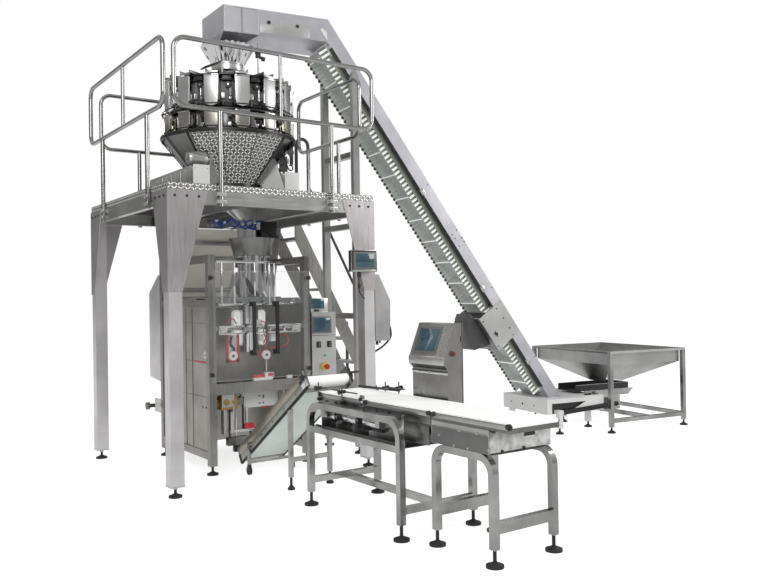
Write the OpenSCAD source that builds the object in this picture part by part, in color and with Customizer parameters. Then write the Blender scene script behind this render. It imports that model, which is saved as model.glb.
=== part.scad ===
// Vertical form fill seal packing line: a bagger under a weigher platform, with its
// belt elevator, infeed hopper, take-off conveyor and checkweigher.
// X runs to the right along the front, Y runs away from the front, Z is up.
// The origin is on the floor, under the centre of the platform's front left leg.

/* [Platform] */
// Height of the walking surface above the floor
deck_z = 2230; // [2100:10:2400]
// Distance between leg centres, left to right
leg_span_x = 1650; // [1600:10:1800]
// Distance between leg centres, front to back
leg_span_y = 1790; // [1760:10:1900]
// Side of a square leg tube
leg_w = 100; // [80:5:110]
// Height of the folded edge of the deck
deck_edge = 50; // [40:5:70]
// Thickness of the checker plate
deck_t = 6; // [4:1:10]
// Height of the channel beams under the deck
beam_h = 100; // [80:5:130]
// Depth of the channel beams, front to back
beam_d = 50; // [40:5:70]
// Wall of the channel beams
beam_t = 6; // [4:1:10]
// Side of the square hole in the deck under the weigher
deck_hole = 620; // [560:10:680]
// Height of the tapered gusset plates on the legs
gusset_h = 730; // [500:10:800]
// Width of a gusset plate at its top
gusset_w = 300; // [220:10:320]
// Thickness of a gusset plate
gusset_t = 6; // [4:1:8]
// Diameter of a large levelling foot's pad
pad_d = 95; // [85:5:120]
// Height of the platform's levelling feet
foot_h = 80; // [60:5:110]

/* [Railings] */
// Diameter of the railing tube
rail_d = 34; // [30:1:44]
// Bend radius of the railing's corners
rail_bend = 90; // [60:5:120]
// Height of the railing's top tube above the deck
rail_top = 1030; // [950:10:1150]
// Height of the railing's lower tube above the deck
rail_low = 540; // [450:10:600]
// Distance from a railing's end to its nearest post
rail_post = 345; // [250:5:400]
// Gap between a railing tube and the beam behind it
rail_gap = 3; // [2:1:8]

/* [Stair] */
// Near side of the stair, from the origin
stair_y = 1290; // [1280:5:1310]
// Width of the stair over its stringers
stair_w = 460; // [420:10:470]
// Slope of the stair, in degrees
stair_slope = 62; // [58:1:65]
// Number of treads
stair_steps = 8; // [7:1:9]
// Depth of a stringer plate, square to the slope
stringer_h = 130; // [110:5:150]
// Height of the handrails above the stringers
handrail_h = 600; // [500:10:700]

/* [Weigher] */
// Distance of the weigher's axis to the right of the platform's middle
weigher_off = 40; // [20:5:60]
// Number of weighing heads
heads = 14; // [10:1:16]
// Radius to the faces of the buckets
head_r = 550; // [530:5:570]
// Height of the weigher's ring plate above the deck
ring_h = 520; // [500:10:560]
// Height of an upper bucket
upper_h = 240; // [200:10:260]
// Height of a lower bucket
lower_h = 140; // [120:10:150]
// Width of a bucket
bucket_w = 120; // [100:5:130]
// Depth of a bucket, towards the axis
bucket_d = 120; // [100:5:130]
// Number of sides of the discharge cone
cone_sides = 12; // [12:8:20]
// Radius of the infeed funnel's mouth
funnel_r = 235; // [210:5:250]

/* [Elevator] */
// Turn of the elevator and hopper line from the front, in degrees
line_turn = -9; // [-11:1:-7]
// Width of the elevator over its side plates
elev_w = 450; // [420:10:480]
// Height of the elevator's top above the deck
elev_top = 1635; // [1620:5:1680]
// Length of the level run at the top, right of the weigher's axis
elev_level = 850; // [800:10:900]
// Slope of the elevator, in degrees
elev_slope = 54.5; // [53:0.5:56]
// Height of the casing along the level run
level_h = 200; // [180:5:210]
// Depth of the closed casing, square to its slope
casing_h = 123; // [110:1:135]
// Height of the belt's side walls under the casing
wall_h = 90; // [70:5:100]
// Width of the belt over its side walls
belt_w = 330; // [300:10:340]
// Pitch of the belt's cleats
cleat_pitch = 250; // [200:10:300]
// Side of the square props under the elevator
prop_w = 60; // [50:5:70]
// Height of the boot's top above the floor
boot_z = 345; // [335:5:350]

/* [Hopper] */
// Length of the hopper's rim along the line
hopper_l = 1020; // [980:10:1080]
// Width of the hopper's rim
hopper_w = 1280; // [1240:10:1360]
// Height of the hopper's rim above the floor
hopper_z = 810; // [790:10:860]
// Height of the hopper's straight rim wall
rim_h = 140; // [110:5:160]
// Width of the rim's folded flange
rim_flange = 45; // [42:1:55]
// Wall of the hopper
hopper_t = 4; // [3:1:6]
// Width of the hopper's outlet
outlet_w = 240; // [200:10:260]

/* [Bagger] */
// Left side of the bagger's frame
bag_x = 470; // [450:5:480]
// Width of the bagger's frame
bag_w = 920; // [900:10:940]
// Front of the bagger's frame
bag_y = 480; // [470:5:490]
// Depth of the bagger's frame
bag_d = 1100; // [1060:10:1120]
// Height of the bagger's frame
bag_h = 1750; // [1720:10:1780]
// Side of the frame's square posts
post_w = 60; // [50:5:70]
// Height of the front beam's underside
jaw_beam_z = 630; // [620:5:640]
// Diameter of the forming tube
form_d = 170; // [150:5:180]
// Distance from the front of the frame to the forming tube's axis
form_y = 240; // [230:5:250]
// Height of the rear cabinet's underside
cab_z = 660; // [640:10:680]
// Depth of the rear cabinet
cab_d = 280; // [240:10:300]

/* [Doors] */
// Height of a door's lower edge
door_z = 740; // [735:5:755]
// Height of a door
door_h = 880; // [840:10:890]
// Thickness of a clear door panel
door_t = 8; // [6:1:10]
// Gap between the two doors
door_gap = 8; // [7:1:12]
// Radius of a door's hinge pin
hinge_pin_r = 5; // [4:0.5:6]
// Running clearance of a hinge pin in its knuckle
pin_clear = 0.05; // [0.03:0.01:0.08]
// Diameter of a door handle's tube
handle_d = 32; // [26:1:36]

/* [Controls] */
// Width of the control box beside the frame
ctrl_w = 240; // [220:5:250]
// Height of the control box's underside
ctrl_z = 720; // [700:10:740]
// Height of the control box
ctrl_h = 550; // [500:10:580]
// Depth of the control box
ctrl_d = 150; // [130:5:180]
// Height of the weigher screen's underside
screen_z = 1600; // [1590:10:1630]

/* [Take-off conveyor] */
// Left side of the take-off conveyor
take_x = 740; // [730:5:760]
// Width of the take-off conveyor
take_w = 360; // [340:5:370]
// Distance of the conveyor's head in front of the origin
take_head = 590; // [570:5:600]
// Height of the conveyor's head
take_z = 830; // [810:5:840]
// Slope of the take-off conveyor, in degrees
take_slope = 33; // [32:0.5:34]
// Depth of the conveyor's side channels below the top of the frame
take_t = 60; // [55:5:70]
// Height of the side guards above it
take_guard = 75; // [65:5:90]

/* [Checkweigher] */
// Middle of the checkweigher's belt, to the right of the origin
chk_x = 930; // [925:5:940]
// Height of the checkweigher's belt
chk_z = 750; // [735:5:770]
// Width of the checkweigher's belt
chk_w = 350; // [330:5:360]
// Distance of the belt's near end in front of the origin
chk_y0 = 720; // [710:5:760]
// Length of the checkweigher's belts together
chk_l = 1880; // [1860:10:1950]
// Side of the stand's square tube
stand_w = 40; // [35:5:50]
// Height of the console's top
console_h = 1220; // [1190:10:1260]

/* [Hidden] */
$fn = 48;

steel = [0.72, 0.72, 0.71];
bright = [0.84, 0.84, 0.84];
grey = [0.45, 0.45, 0.45];
dark = [0.16, 0.16, 0.17];
white = [0.93, 0.93, 0.92];

// Outline of the platform, and the places that follow from it
deck_low = deck_z - deck_edge;
beam_low = deck_low - beam_h;
half_leg = leg_w / 2;
plat_x0 = -half_leg;
plat_x1 = leg_span_x + half_leg;
plat_y0 = -half_leg;
plat_y1 = leg_span_y + half_leg;
joist_w = 50;

rail_off = rail_d / 2 + rail_gap;
rail_lift = rail_top - rail_low;
rail_in = 100;
rail_out = 40;
rail_clamp = 56;

stair_run = deck_z / tan(stair_slope);
stair_x = plat_x1 + gusset_t;
stringer_t = 8;
handrail_d = 32;

// Weigher levels, from the ring plate up
weigher_x = leg_span_x / 2 + weigher_off;
weigher_y = leg_span_y / 2 + 25;
base_w = 135;
base_h = 240;
base_off = 410;
base_front = 300;
base_back = 640;
ring_z = deck_z + ring_h;
ring_t = 14;
ring_r = head_r + 25;
cone_r = head_r + 10;
cone_low_r = 240;
cone_low = deck_z + 130;
lower_z = ring_z + ring_t + 6;
upper_z = lower_z + lower_h + 40;
drum_r = head_r - 210;
drum_top = upper_z + upper_h + 20;
table_t = 12;
feed_low_r = head_r - 150;
feed_h = 70;
funnel_low = drum_top + 200;
funnel_h = 160;
funnel_neck = 135;
feed_top_r = funnel_neck - 40;
sheet = 3;
// Gap left where two nodes only touch along a slope
seat = 0.1;

// Elevator line, in its own turned frame that starts at the weigher's axis
elev_z = deck_z + elev_top;
head_len = 128;
head_end = 215;
elev_end = elev_level + (elev_z - boot_z) / tan(elev_slope);
slope_len = (elev_z - boot_z) / sin(elev_slope);
side_t = 8;
boot_x0 = elev_end - 290;
boot_l = 720;
boot_w = 750;
boot_low = boot_z - 150;
boot_foot_y = 400;
prop_x = 1040;

hopper_x = boot_x0 + boot_l - 140;
outlet_z = boot_z + 100;
hopper_leg = 40;
hopper_foot = 60;
low_rail = 100;
pan_x0 = boot_x0 + boot_l - 170;
pan_z = boot_z + 20;
pan_h = 65;
pan_w = 290;

// Bagger frame and what hangs in it
bag_x1 = bag_x + bag_w;
bag_y1 = bag_y + bag_d;
bag_in0 = bag_x + post_w;
bag_in1 = bag_x1 - post_w;
bag_foot = 70;
frame_rail = 60;
form_x = bag_x + bag_w / 2;
form_axis = bag_y + form_y;
form_low = 950;
collar_z = 1400;
bar_z = 1140;
bar_h = 40;
jaw_len = 420;
jaw_h = 70;
jaw_d = 60;
arm_t = 8;
roll_r = 130;
roll_z = 430;
roll_y = bag_y1 + 170;

hinge_r = 14;
hinge_h = 30;
hinge_off = 20;
hinge_y = bag_y - hinge_off;
hinge_in = 14;
door_w = bag_w / 2 - hinge_in - door_gap / 2;
hinge_levels = [door_z + 40, door_z + door_h - 70];
handle_z = door_z + 200;
handle_h = 430;
handle_in = 100;

take_y = -take_head;
take_len = 1330;
chk_bed = chk_z - 90;
chk_gap = 8;
chk_parts = [0, 0.3, 0.66, 1];
belt_t = 15;
arch_z = chk_bed + stand_w / 2;
arch_bend = 110;
console_x = 1150;
console_d = 125;

module block(a, b) translate(a) cube(b - a);

module rod(p, q, r) {
    v = q - p;
    translate(p)
        rotate([0, acos(v[2] / norm(v)), atan2(v[1], v[0])])
            cylinder(r = r, h = norm(v));
}

// Plate in the YZ plane, from its outline, growing along X
module side_plate(x, t, outline)
    translate([x, 0, 0]) rotate([90, 0, 90]) linear_extrude(t) polygon(outline);

// Plate in the XZ plane, from its outline, growing along Y
module front_plate(y, t, outline)
    translate([0, y + t, 0]) rotate([90, 0, 0]) linear_extrude(t) polygon(outline);

module at_legs()
    for (x = [0, leg_span_x], y = [0, leg_span_y]) translate([x, y, 0]) children();

module in_line() translate([weigher_x, weigher_y, 0]) rotate([0, 0, line_turn]) children();

module levelling_foot(h, d, spindle = 10) {
    pad_t = 14;
    cylinder(d = d, h = pad_t);
    translate([0, 0, pad_t]) cylinder(d1 = d * 0.85, d2 = spindle * 3, h = pad_t);
    translate([0, 0, 2 * pad_t]) cylinder(r = spindle, h = h - 2 * pad_t);
}

module quarter_bend(bend, d)
    rotate_extrude(angle = 90) translate([bend, 0]) circle(d = d);

// Closed rounded rectangle of tube in the XZ plane, from its lower left corner
module tube_loop(w, h, bend, d) {
    for (z = [0, h]) translate([bend, 0, z]) rotate([0, 90, 0]) cylinder(d = d, h = w - 2 * bend);
    for (x = [0, w]) translate([x, 0, bend]) cylinder(d = d, h = h - 2 * bend);
    for (c = [[bend, bend, 180], [w - bend, bend, 270], [w - bend, h - bend, 0], [bend, h - bend, 90]])
        translate([c[0], 0, c[1]]) rotate([90, 0, 0]) rotate([0, 0, c[2]]) quarter_bend(bend, d);
}

// Arch of round tube in the XZ plane: two legs and a bent top
module tube_arch(w, h, bend, d) {
    for (x = [0, w]) translate([x, 0, 0]) cylinder(d = d, h = h - bend);
    translate([bend, 0, h]) rotate([0, 90, 0]) cylinder(d = d, h = w - 2 * bend);
    for (c = [[w - bend, 0], [bend, 90]])
        translate([c[0], 0, h - bend]) rotate([90, 0, 0]) rotate([0, 0, c[1]]) quarter_bend(bend, d);
}

// Arch of square tube in the XZ plane, with rounded shoulders
module square_arch(w, h, bend, s) {
    for (x = [0, w]) block([x - s / 2, -s / 2, 0], [x + s / 2, s / 2, h - bend]);
    block([bend, -s / 2, h - s / 2], [w - bend, s / 2, h + s / 2]);
    for (c = [[w - bend, 0], [bend, 90]])
        translate([c[0], 0, h - bend]) rotate([90, 0, 0]) rotate([0, 0, c[1]])
            rotate_extrude(angle = 90) translate([bend - s / 2, -s / 2]) square(s);
}

module platform_legs() color(steel)
    at_legs() translate([-half_leg, -half_leg, foot_h]) cube([leg_w, leg_w, deck_low - foot_h]);

module levelling_feet() color(dark) {
    at_legs() levelling_foot(foot_h, pad_d);
    for (x = [bag_x + post_w / 2, bag_x1 - post_w / 2], y = [bag_y + post_w / 2, bag_y1 - post_w / 2])
        translate([x, y, 0]) levelling_foot(bag_foot, pad_d - 5);
    at_stand_feet() levelling_foot(stand_foot, pad_d);
    at_reject_feet() levelling_foot(stand_foot, pad_d);
    at_takeoff_feet() levelling_foot(stand_foot, pad_d - 40);
    at_hopper_feet() levelling_foot(hopper_foot, pad_d - 15);
    at_boot_feet() levelling_foot(hopper_foot, pad_d - 15);
    at_props() levelling_foot(hopper_foot, pad_d - 5);
}

// Tapered plates on the two outer faces of each leg, which also cover the beams' ends
module platform_gussets() color(bright)
    for (sx = [0, 1], sy = [0, 1])
        translate([sx * leg_span_x, sy * leg_span_y, deck_low - gusset_h])
            mirror([sx, 0, 0]) mirror([0, sy, 0]) translate([-half_leg, -half_leg, 0]) {
                front_plate(-gusset_t, gusset_t,
                    [[0, 0], [leg_w, 0], [gusset_w, gusset_h], [0, gusset_h]]);
                side_plate(-gusset_t, gusset_t,
                    [[-gusset_t, 0], [leg_w, 0], [gusset_w, gusset_h], [-gusset_t, gusset_h]]);
            }

module channel(l) difference() {
    cube([l, beam_d, beam_h]);
    translate([-1, beam_t, beam_t]) cube([l + 2, beam_d, beam_h - 2 * beam_t]);
}

module platform_beams() color(steel) {
    for (s = [0, 1]) {
        translate([half_leg, s * leg_span_y, beam_low]) mirror([0, s, 0])
            translate([0, -half_leg, 0]) channel(leg_span_x - leg_w);
        translate([s * leg_span_x, half_leg, beam_low]) mirror([s, 0, 0])
            translate([-half_leg, 0, 0]) mirror([1, -1, 0]) channel(leg_span_y - leg_w);
    }
    for (x = [weigher_x - deck_hole / 2 - joist_w, weigher_x + deck_hole / 2])
        block([x, plat_y0 + beam_d, beam_low], [x + joist_w, plat_y1 - beam_d, deck_low]);
}

module platform_deck() color(bright) {
    h = deck_hole / 2;
    difference() {
        block([plat_x0, plat_y0, deck_low], [plat_x1, plat_y1, deck_z]);
        difference() {
            block([plat_x0 + deck_t, plat_y0 + deck_t, deck_low - 1],
                [plat_x1 - deck_t, plat_y1 - deck_t, deck_z - deck_t]);
            block([weigher_x - h - deck_t, weigher_y - h - deck_t, deck_low - 2],
                [weigher_x + h + deck_t, weigher_y + h + deck_t, deck_z]);
        }
        block([weigher_x - h, weigher_y - h, deck_low - 1], [weigher_x + h, weigher_y + h, deck_z + 1]);
    }
}

// Railing of length l along X, seated on the beam's face at Y = 0
module railing(l, posts, bars) {
    translate([0, -rail_off, deck_z + rail_low]) tube_loop(l, rail_lift, rail_bend, rail_d);
    for (x = bars) translate([x, -rail_off, deck_z + rail_low]) cylinder(d = rail_d - 6, h = rail_lift);
    for (x = posts) {
        translate([x, -rail_off, beam_low - 10]) cylinder(d = rail_d, h = deck_z + rail_low - beam_low + 10);
        for (z = [beam_low + 8, deck_low - 38])
            block([x - rail_clamp / 2, -rail_off, z], [x + rail_clamp / 2, 0, z + 30]);
    }
}

front_rail_l = leg_span_x + 40;
back_rail_l = leg_span_x - 40;
side_rail_l = leg_span_y + 10;

module front_railing() color(steel)
    translate([plat_x0 + rail_in / 2, plat_y0, 0])
        railing(front_rail_l, [rail_post, front_rail_l - rail_post - rail_in / 2], [front_rail_l / 2]);

module left_railing() color(steel)
    translate([plat_x0, plat_y1 - rail_out - rail_in / 2, 0]) rotate([0, 0, -90])
        railing(side_rail_l, [rail_post, side_rail_l - rail_post], [side_rail_l / 2]);

module back_railing() color(steel)
    translate([plat_x1 - rail_out, plat_y1, 0]) rotate([0, 0, 180])
        railing(back_rail_l, [rail_post, back_rail_l - rail_post], [back_rail_l / 2]);

right_rail_y = 160;
right_rail_l = stair_y - right_rail_y - 80;

module right_railing() color(steel)
    translate([plat_x1, right_rail_y, 0]) rotate([0, 0, 90])
        railing(right_rail_l, [rail_post, right_rail_l - rail_post / 2], []);

function stair_line(z) = stair_x + (deck_z - z) / tan(stair_slope);

module stringer(y) front_plate(y, stringer_t, [
    [stair_x, deck_z],
    [stair_line(0), 0],
    [stair_line(0) - stringer_h / sin(stair_slope), 0],
    [stair_x, deck_z - stringer_h / cos(stair_slope)]
]);

module stair_stringers() color(bright) {
    stringer(stair_y);
    stringer(stair_y + stair_w - stringer_t);
    block([plat_x1, stair_y, beam_low], [stair_x, stair_y + 60, deck_low]);
}

module stair_treads() color(steel)
    for (i = [1:stair_steps]) {
        z = deck_z * i / (stair_steps + 1);
        block([stair_line(z) - stringer_h, stair_y + stringer_t, z - 25],
            [stair_line(z), stair_y + stair_w - stringer_t, z]);
    }

// On each side an arch at the stair's head, and a thinner rail from it down to a post
module stair_handrails() color(dark)
    for (y = [stair_y - handrail_d / 2, stair_y + stair_w + handrail_d / 2]) {
        arch_x = stair_x + 18;
        arch_w = 130;
        post_z = 500;
        post_x = stair_line(post_z) - 40;
        rail_z = post_z + handrail_h;
        translate([arch_x, y, deck_low - 40]) tube_arch(arch_w, 790, arch_w / 2, handrail_d);
        translate([post_x, y, post_z - 60]) cylinder(d = handrail_d, h = handrail_h + 90);
        rod([arch_x + arch_w, y, rail_z + (post_x - arch_x - arch_w) * tan(stair_slope)],
            [post_x, y, rail_z], handrail_d / 2 - 3);
    }

// Distance from the weigher's axis to the middle of a cone panel at height z
function cone_flat(z) = cos(180 / cone_sides)
    * (cone_low_r + (cone_r - cone_low_r) * (z - cone_low) / (ring_z - cone_low));

// Two long boxes on the deck, and four gussets that carry the cone
module weigher_base() color(steel) {
    low = deck_z + 160;
    high = deck_z + 360;
    for (s = [-1, 1])
        block([weigher_x + s * base_off - base_w / 2, weigher_y - base_front, deck_z],
            [weigher_x + s * base_off + base_w / 2, weigher_y + base_back, deck_z + base_h]);
    for (a = [45:90:315]) translate([weigher_x, weigher_y, 0]) rotate([0, 0, a])
        front_plate(-gusset_t / 2, gusset_t, [[430, deck_z], [520, deck_z],
            [cone_flat(high) + seat, high], [cone_flat(low) + seat, low]]);
}

module cone_shape(top, low) {
    hull() {
        translate([0, 0, ring_z - 0.01]) cylinder(r = top, h = 0.01, $fn = cone_sides);
        translate([0, 0, cone_low]) cylinder(r = low, h = 0.01, $fn = cone_sides);
    }
}

module discharge_cone() color(bright)
    translate([weigher_x, weigher_y, 0]) difference() {
        cone_shape(cone_r, cone_low_r);
        translate([0, 0, 0.02]) cone_shape(cone_r - 5, cone_low_r - 5);
        translate([0, 0, cone_low - 1]) cylinder(r = cone_low_r - 5, h = 2, $fn = cone_sides);
        translate([0, 0, ring_z - 1]) cylinder(r = cone_r - 5, h = 2, $fn = cone_sides);
    }

module ring_plate() color(dark)
    translate([weigher_x, weigher_y, ring_z]) difference() {
        cylinder(r = ring_r, h = ring_t, $fn = 96);
        translate([0, 0, -1]) cylinder(r = drum_r - 60, h = ring_t + 2, $fn = 96);
    }

module at_heads() translate([weigher_x, weigher_y, 0])
    for (i = [0:heads - 1]) rotate([0, 0, i * 360 / heads]) children();

module lower_buckets() color(bright)
    at_heads() translate([head_r - bucket_d, bucket_w / 2, lower_z]) rotate([90, 0, 0])
        linear_extrude(bucket_w) polygon([
            [0, 30], [bucket_d / 2, 0], [bucket_d, 30], [bucket_d, lower_h], [0, lower_h]]);

module upper_buckets() color(bright)
    at_heads() translate([head_r - bucket_d, bucket_w / 2, upper_z]) rotate([90, 0, 0])
        linear_extrude(bucket_w) polygon([
            [0, 40], [bucket_d / 2, 0], [bucket_d, 40], [bucket_d, upper_h], [0, upper_h]]);

// Round body of the weigher, its bucket hangers and the feed table on top
module weigher_drum() color(dark) {
    translate([weigher_x, weigher_y, ring_z + ring_t]) cylinder(r = drum_r, h = drum_top - ring_z - ring_t);
    translate([weigher_x, weigher_y, drum_top]) cylinder(r = head_r - 60, h = table_t);
    translate([weigher_x, weigher_y, drum_top + table_t])
        cylinder(r1 = feed_low_r, r2 = feed_top_r, h = feed_h);
    at_heads() for (z = [lower_z + lower_h - 50, upper_z + upper_h - 90])
        block([drum_r - 10, -25, z], [head_r - bucket_d, 25, z + 40]);
}

module infeed_funnel() color(bright)
    translate([weigher_x, weigher_y, 0]) {
        difference() {
            union() {
                translate([0, 0, funnel_low]) cylinder(r1 = funnel_neck, r2 = funnel_r, h = funnel_h);
                translate([0, 0, funnel_low - 50]) cylinder(r = funnel_neck, h = 50);
            }
            translate([0, 0, funnel_low])
                cylinder(r1 = funnel_neck - sheet, r2 = funnel_r - sheet, h = funnel_h + 0.01);
            translate([0, 0, funnel_low - 51]) cylinder(r = funnel_neck - sheet, h = 52);
        }
        leg_z = drum_top + table_t + feed_h * (feed_low_r - funnel_neck) / (feed_low_r - feed_top_r);
        for (a = [45:90:315]) rotate([0, 0, a])
            translate([funnel_neck + 8, 0, leg_z]) cylinder(r = 8, h = funnel_low + 12 - leg_z);
    }

function slope_point(s, t) = [
    elev_level + s * cos(elev_slope) - t * sin(elev_slope),
    elev_z - s * sin(elev_slope) - t * cos(elev_slope)
];

// Moves to the slope's own frame: X down the slope, Z square to it and upwards
module on_slope() translate([elev_level, 0, elev_z]) rotate([0, elev_slope, 0]) children();

level_low = elev_z - level_h;
corner_x = elev_level + (level_h - casing_h / cos(elev_slope)) / tan(elev_slope);

function casing_low_z(x) = elev_z - (x - elev_level) * tan(elev_slope) - casing_h / cos(elev_slope);

function prop_place(side) = prop_x + side * (elev_w + prop_w) / 2 * tan(line_turn);

module at_props() in_line() for (side = [-1, 1])
    translate([prop_place(side), side * (elev_w + prop_w) / 2, 0]) children();

// Two posts on the outer faces of the casing's side plates, in line with the platform, with cross ties
module elevator_props() color(steel) {
    half = prop_w / 2;
    w = elev_w / 2;
    lap = 90;
    in_line() for (side = [-1, 1]) {
        x = prop_place(side);
        front_plate(side * (elev_w + prop_w) / 2 - half, prop_w, [
            [x - half, hopper_foot], [x + half, hopper_foot],
            [x + half, casing_low_z(x + half) + lap], [x - half, casing_low_z(x - half) + lap]]);
    }
    in_line() for (z = [400, 1200, 2010, 2650]) {
        near = prop_x - w * tan(line_turn);
        far = prop_x + w * tan(line_turn);
        translate([0, 0, z]) linear_extrude(50)
            polygon([[near - half, -w], [near + half, -w], [far + half, w], [far - half, w]]);
    }
}

module elevator_casing() color(bright) in_line()
    front_plate(-elev_w / 2, elev_w, [
        [head_end, level_low], [corner_x, level_low],
        [elev_end - casing_h / sin(elev_slope), boot_z], [elev_end, boot_z],
        [elev_level, elev_z], [head_end, elev_z]]);

// Return run of the side-wall belt, hanging open under the casing
module elevator_belt() color(white) in_line() {
    w = belt_w / 2;
    s0 = (level_h - casing_h * cos(elev_slope)) / sin(elev_slope) + 12;
    top = -casing_h - seat;
    s1 = slope_len - casing_h / tan(elev_slope) - wall_h / tan(elev_slope) - 20;
    on_slope() {
        translate([s0, -w, top - 10]) cube([s1 - s0, belt_w, 10]);
        for (y = [-w, w - 12]) translate([s0, y, top - 10 - wall_h]) cube([s1 - s0, 12, wall_h]);
        for (s = [s0 + 60:cleat_pitch:s1 - 60])
            translate([s, 12 - w, top - wall_h + 5]) cube([10, belt_w - 24, wall_h - 15]);
    }
}

// Plan of the head box, whose end is square to the platform and not to the elevator
module head_plan() {
    w = elev_w / 2;
    skew = w * tan(line_turn);
    polygon([[-head_len - skew, -w], [head_end, -w], [head_end, w], [-head_len + skew, w]]);
}

// Box over the funnel, with a chute that narrows down into it
module elevator_head() color(bright) in_line() {
    box_z = elev_z - 223;
    low = funnel_low + funnel_h + 12;
    translate([0, 0, box_z]) linear_extrude(223) head_plan();
    hull() {
        translate([0, 0, box_z - 0.01]) linear_extrude(0.01) head_plan();
        block([-100, -110, low], [100, 110, low + 0.01]);
    }
}

module at_boot_feet() in_line()
    for (c = [[boot_x0 + 130, 1], [boot_x0 + boot_l - 60, 0.5]], y = [-1, 1])
        translate([c[0], y * c[1] * boot_foot_y, 0]) children();

// Low base that the elevator's foot stands in, with an open bay under its top
module elevator_boot() color(white) in_line() {
    w = boot_w / 2;
    difference() {
        block([boot_x0, -w, boot_low], [boot_x0 + boot_l, w, boot_z]);
        block([boot_x0 + 60, -w - 1, boot_low - 1], [boot_x0 + boot_l - 60, w - 20, boot_z - 45]);
    }
    for (c = [[boot_x0 + 130, 1], [boot_x0 + boot_l - 60, 0.5]], y = [-1, 1])
        block([c[0] - 25, y * c[1] * boot_foot_y - 25, hopper_foot],
            [c[0] + 25, y * c[1] * boot_foot_y + 25, boot_low]);
    for (y = [-1, 1]) block([boot_x0 + 100, min(0, y * (boot_foot_y + 30)), boot_low],
        [boot_x0 + 160, max(0, y * (boot_foot_y + 30)), boot_low + 40]);
}

// Housing round the lower slope, with the motor hood under it
module elevator_drive() color(steel) in_line() on_slope() {
    s0 = slope_len - 1230;
    s1 = s0 + 380;
    low = -casing_h - 10 - wall_h - 8;
    for (y = [-elev_w / 2 - side_t, elev_w / 2])
        translate([s0, y, low - 90]) cube([s1 - s0, side_t, 80 - low]);
    translate([s0, -elev_w / 2, low - 90]) cube([s1 - s0, elev_w, 90]);
    translate([0, 130, 0]) rotate([90, 0, 0]) linear_extrude(260)
        polygon([[s0 - 60, low - 90], [s1 - 60, low - 90], [s1 - 130, low - 260], [s0 + 20, low - 200]]);
}

module at_hopper_feet() in_line()
    for (x = [hopper_x + hopper_leg / 2, hopper_x + hopper_l - hopper_leg / 2],
         y = [hopper_leg / 2 - hopper_w / 2, hopper_w / 2 - hopper_leg / 2])
        translate([x, y, 0]) children();

module bin_shape(inset) {
    x0 = hopper_x + rim_flange + inset;
    x1 = hopper_x + hopper_l - rim_flange - inset;
    y = hopper_w / 2 - rim_flange - inset;
    cx = hopper_x + hopper_l / 2;
    o = outlet_w / 2 - inset;
    block([x0, -y, hopper_z - rim_h], [x1, y, hopper_z]);
    hull() {
        block([x0, -y, hopper_z - rim_h], [x1, y, hopper_z - rim_h + 0.01]);
        block([cx - o, -o, outlet_z], [cx + o, o, outlet_z + 0.01]);
    }
}

module hopper_bin() color(steel) in_line() difference() {
    union() {
        bin_shape(0);
        block([hopper_x, -hopper_w / 2, hopper_z - 6], [hopper_x + hopper_l, hopper_w / 2, hopper_z]);
    }
    bin_shape(hopper_t);
    translate([0, 0, 2]) bin_shape(hopper_t);
    translate([0, 0, -2]) bin_shape(hopper_t);
}

module hopper_frame() color(steel) in_line() {
    s = hopper_leg;
    w = hopper_w / 2;
    for (x = [hopper_x, hopper_x + hopper_l - s], y = [-w, w - s])
        block([x, y, hopper_foot], [x + s, y + s, hopper_z - 6]);
    for (y = [-w, w - s]) block([hopper_x + s, y, low_rail], [hopper_x + hopper_l - s, y + s, low_rail + s]);
    block([hopper_x + hopper_l - s, s - w, low_rail], [hopper_x + hopper_l, w - s, low_rail + s]);
    block([hopper_x + hopper_l / 2, s - w, low_rail], [hopper_x + hopper_l / 2 + s, w - s, low_rail + s]);
}

pan_x1 = hopper_x + hopper_l / 2 + outlet_w / 2 + 60;

module feeder_pan() color(dark) in_line() difference() {
    block([pan_x0, -pan_w / 2, pan_z], [pan_x1, pan_w / 2, pan_z + pan_h]);
    block([pan_x0 - 1, 5 - pan_w / 2, pan_z + 5], [pan_x1 - 5, pan_w / 2 - 5, pan_z + pan_h + 1]);
}

module feeder_drive() color(steel) in_line() {
    x = hopper_x + hopper_l / 2 - 60;
    block([x - 90, -100, low_rail + hopper_leg], [x + 160, 100, pan_z - 60]);
    for (dx = [-60, 110]) translate([x + dx, 0, pan_z - 60]) cylinder(r = 28, h = 60);
}

// Round chute under the discharge cone, an offset funnel, then a pipe to the forming tube
module collecting_funnel() color(grey) {
    chute_z = cone_low - 30;
    pipe_z = deck_low - 120;
    chute_r = cone_low_r - 5;
    end_z = bag_h + 25;
    translate([weigher_x, weigher_y, chute_z + 0.3]) difference() {
        cylinder(r = chute_r, h = cone_low - chute_z - 0.3);
        translate([0, 0, -1]) cylinder(r = chute_r - sheet, h = cone_low - chute_z + 2);
    }
    difference() {
        hull() {
            translate([weigher_x, weigher_y, chute_z - 1]) cylinder(r = chute_r, h = 1);
            translate([form_x, form_axis, pipe_z]) cylinder(d = form_d, h = 1);
        }
        hull() {
            translate([weigher_x, weigher_y, chute_z - 1]) cylinder(r = chute_r - sheet, h = 3);
            translate([form_x, form_axis, pipe_z - 2]) cylinder(d = form_d - 2 * sheet, h = 3);
        }
    }
    translate([form_x, form_axis, end_z]) difference() {
        cylinder(d = form_d, h = pipe_z - end_z - 0.3);
        translate([0, 0, -1]) cylinder(d = form_d - 2 * sheet, h = pipe_z - end_z + 2);
    }
}

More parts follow.
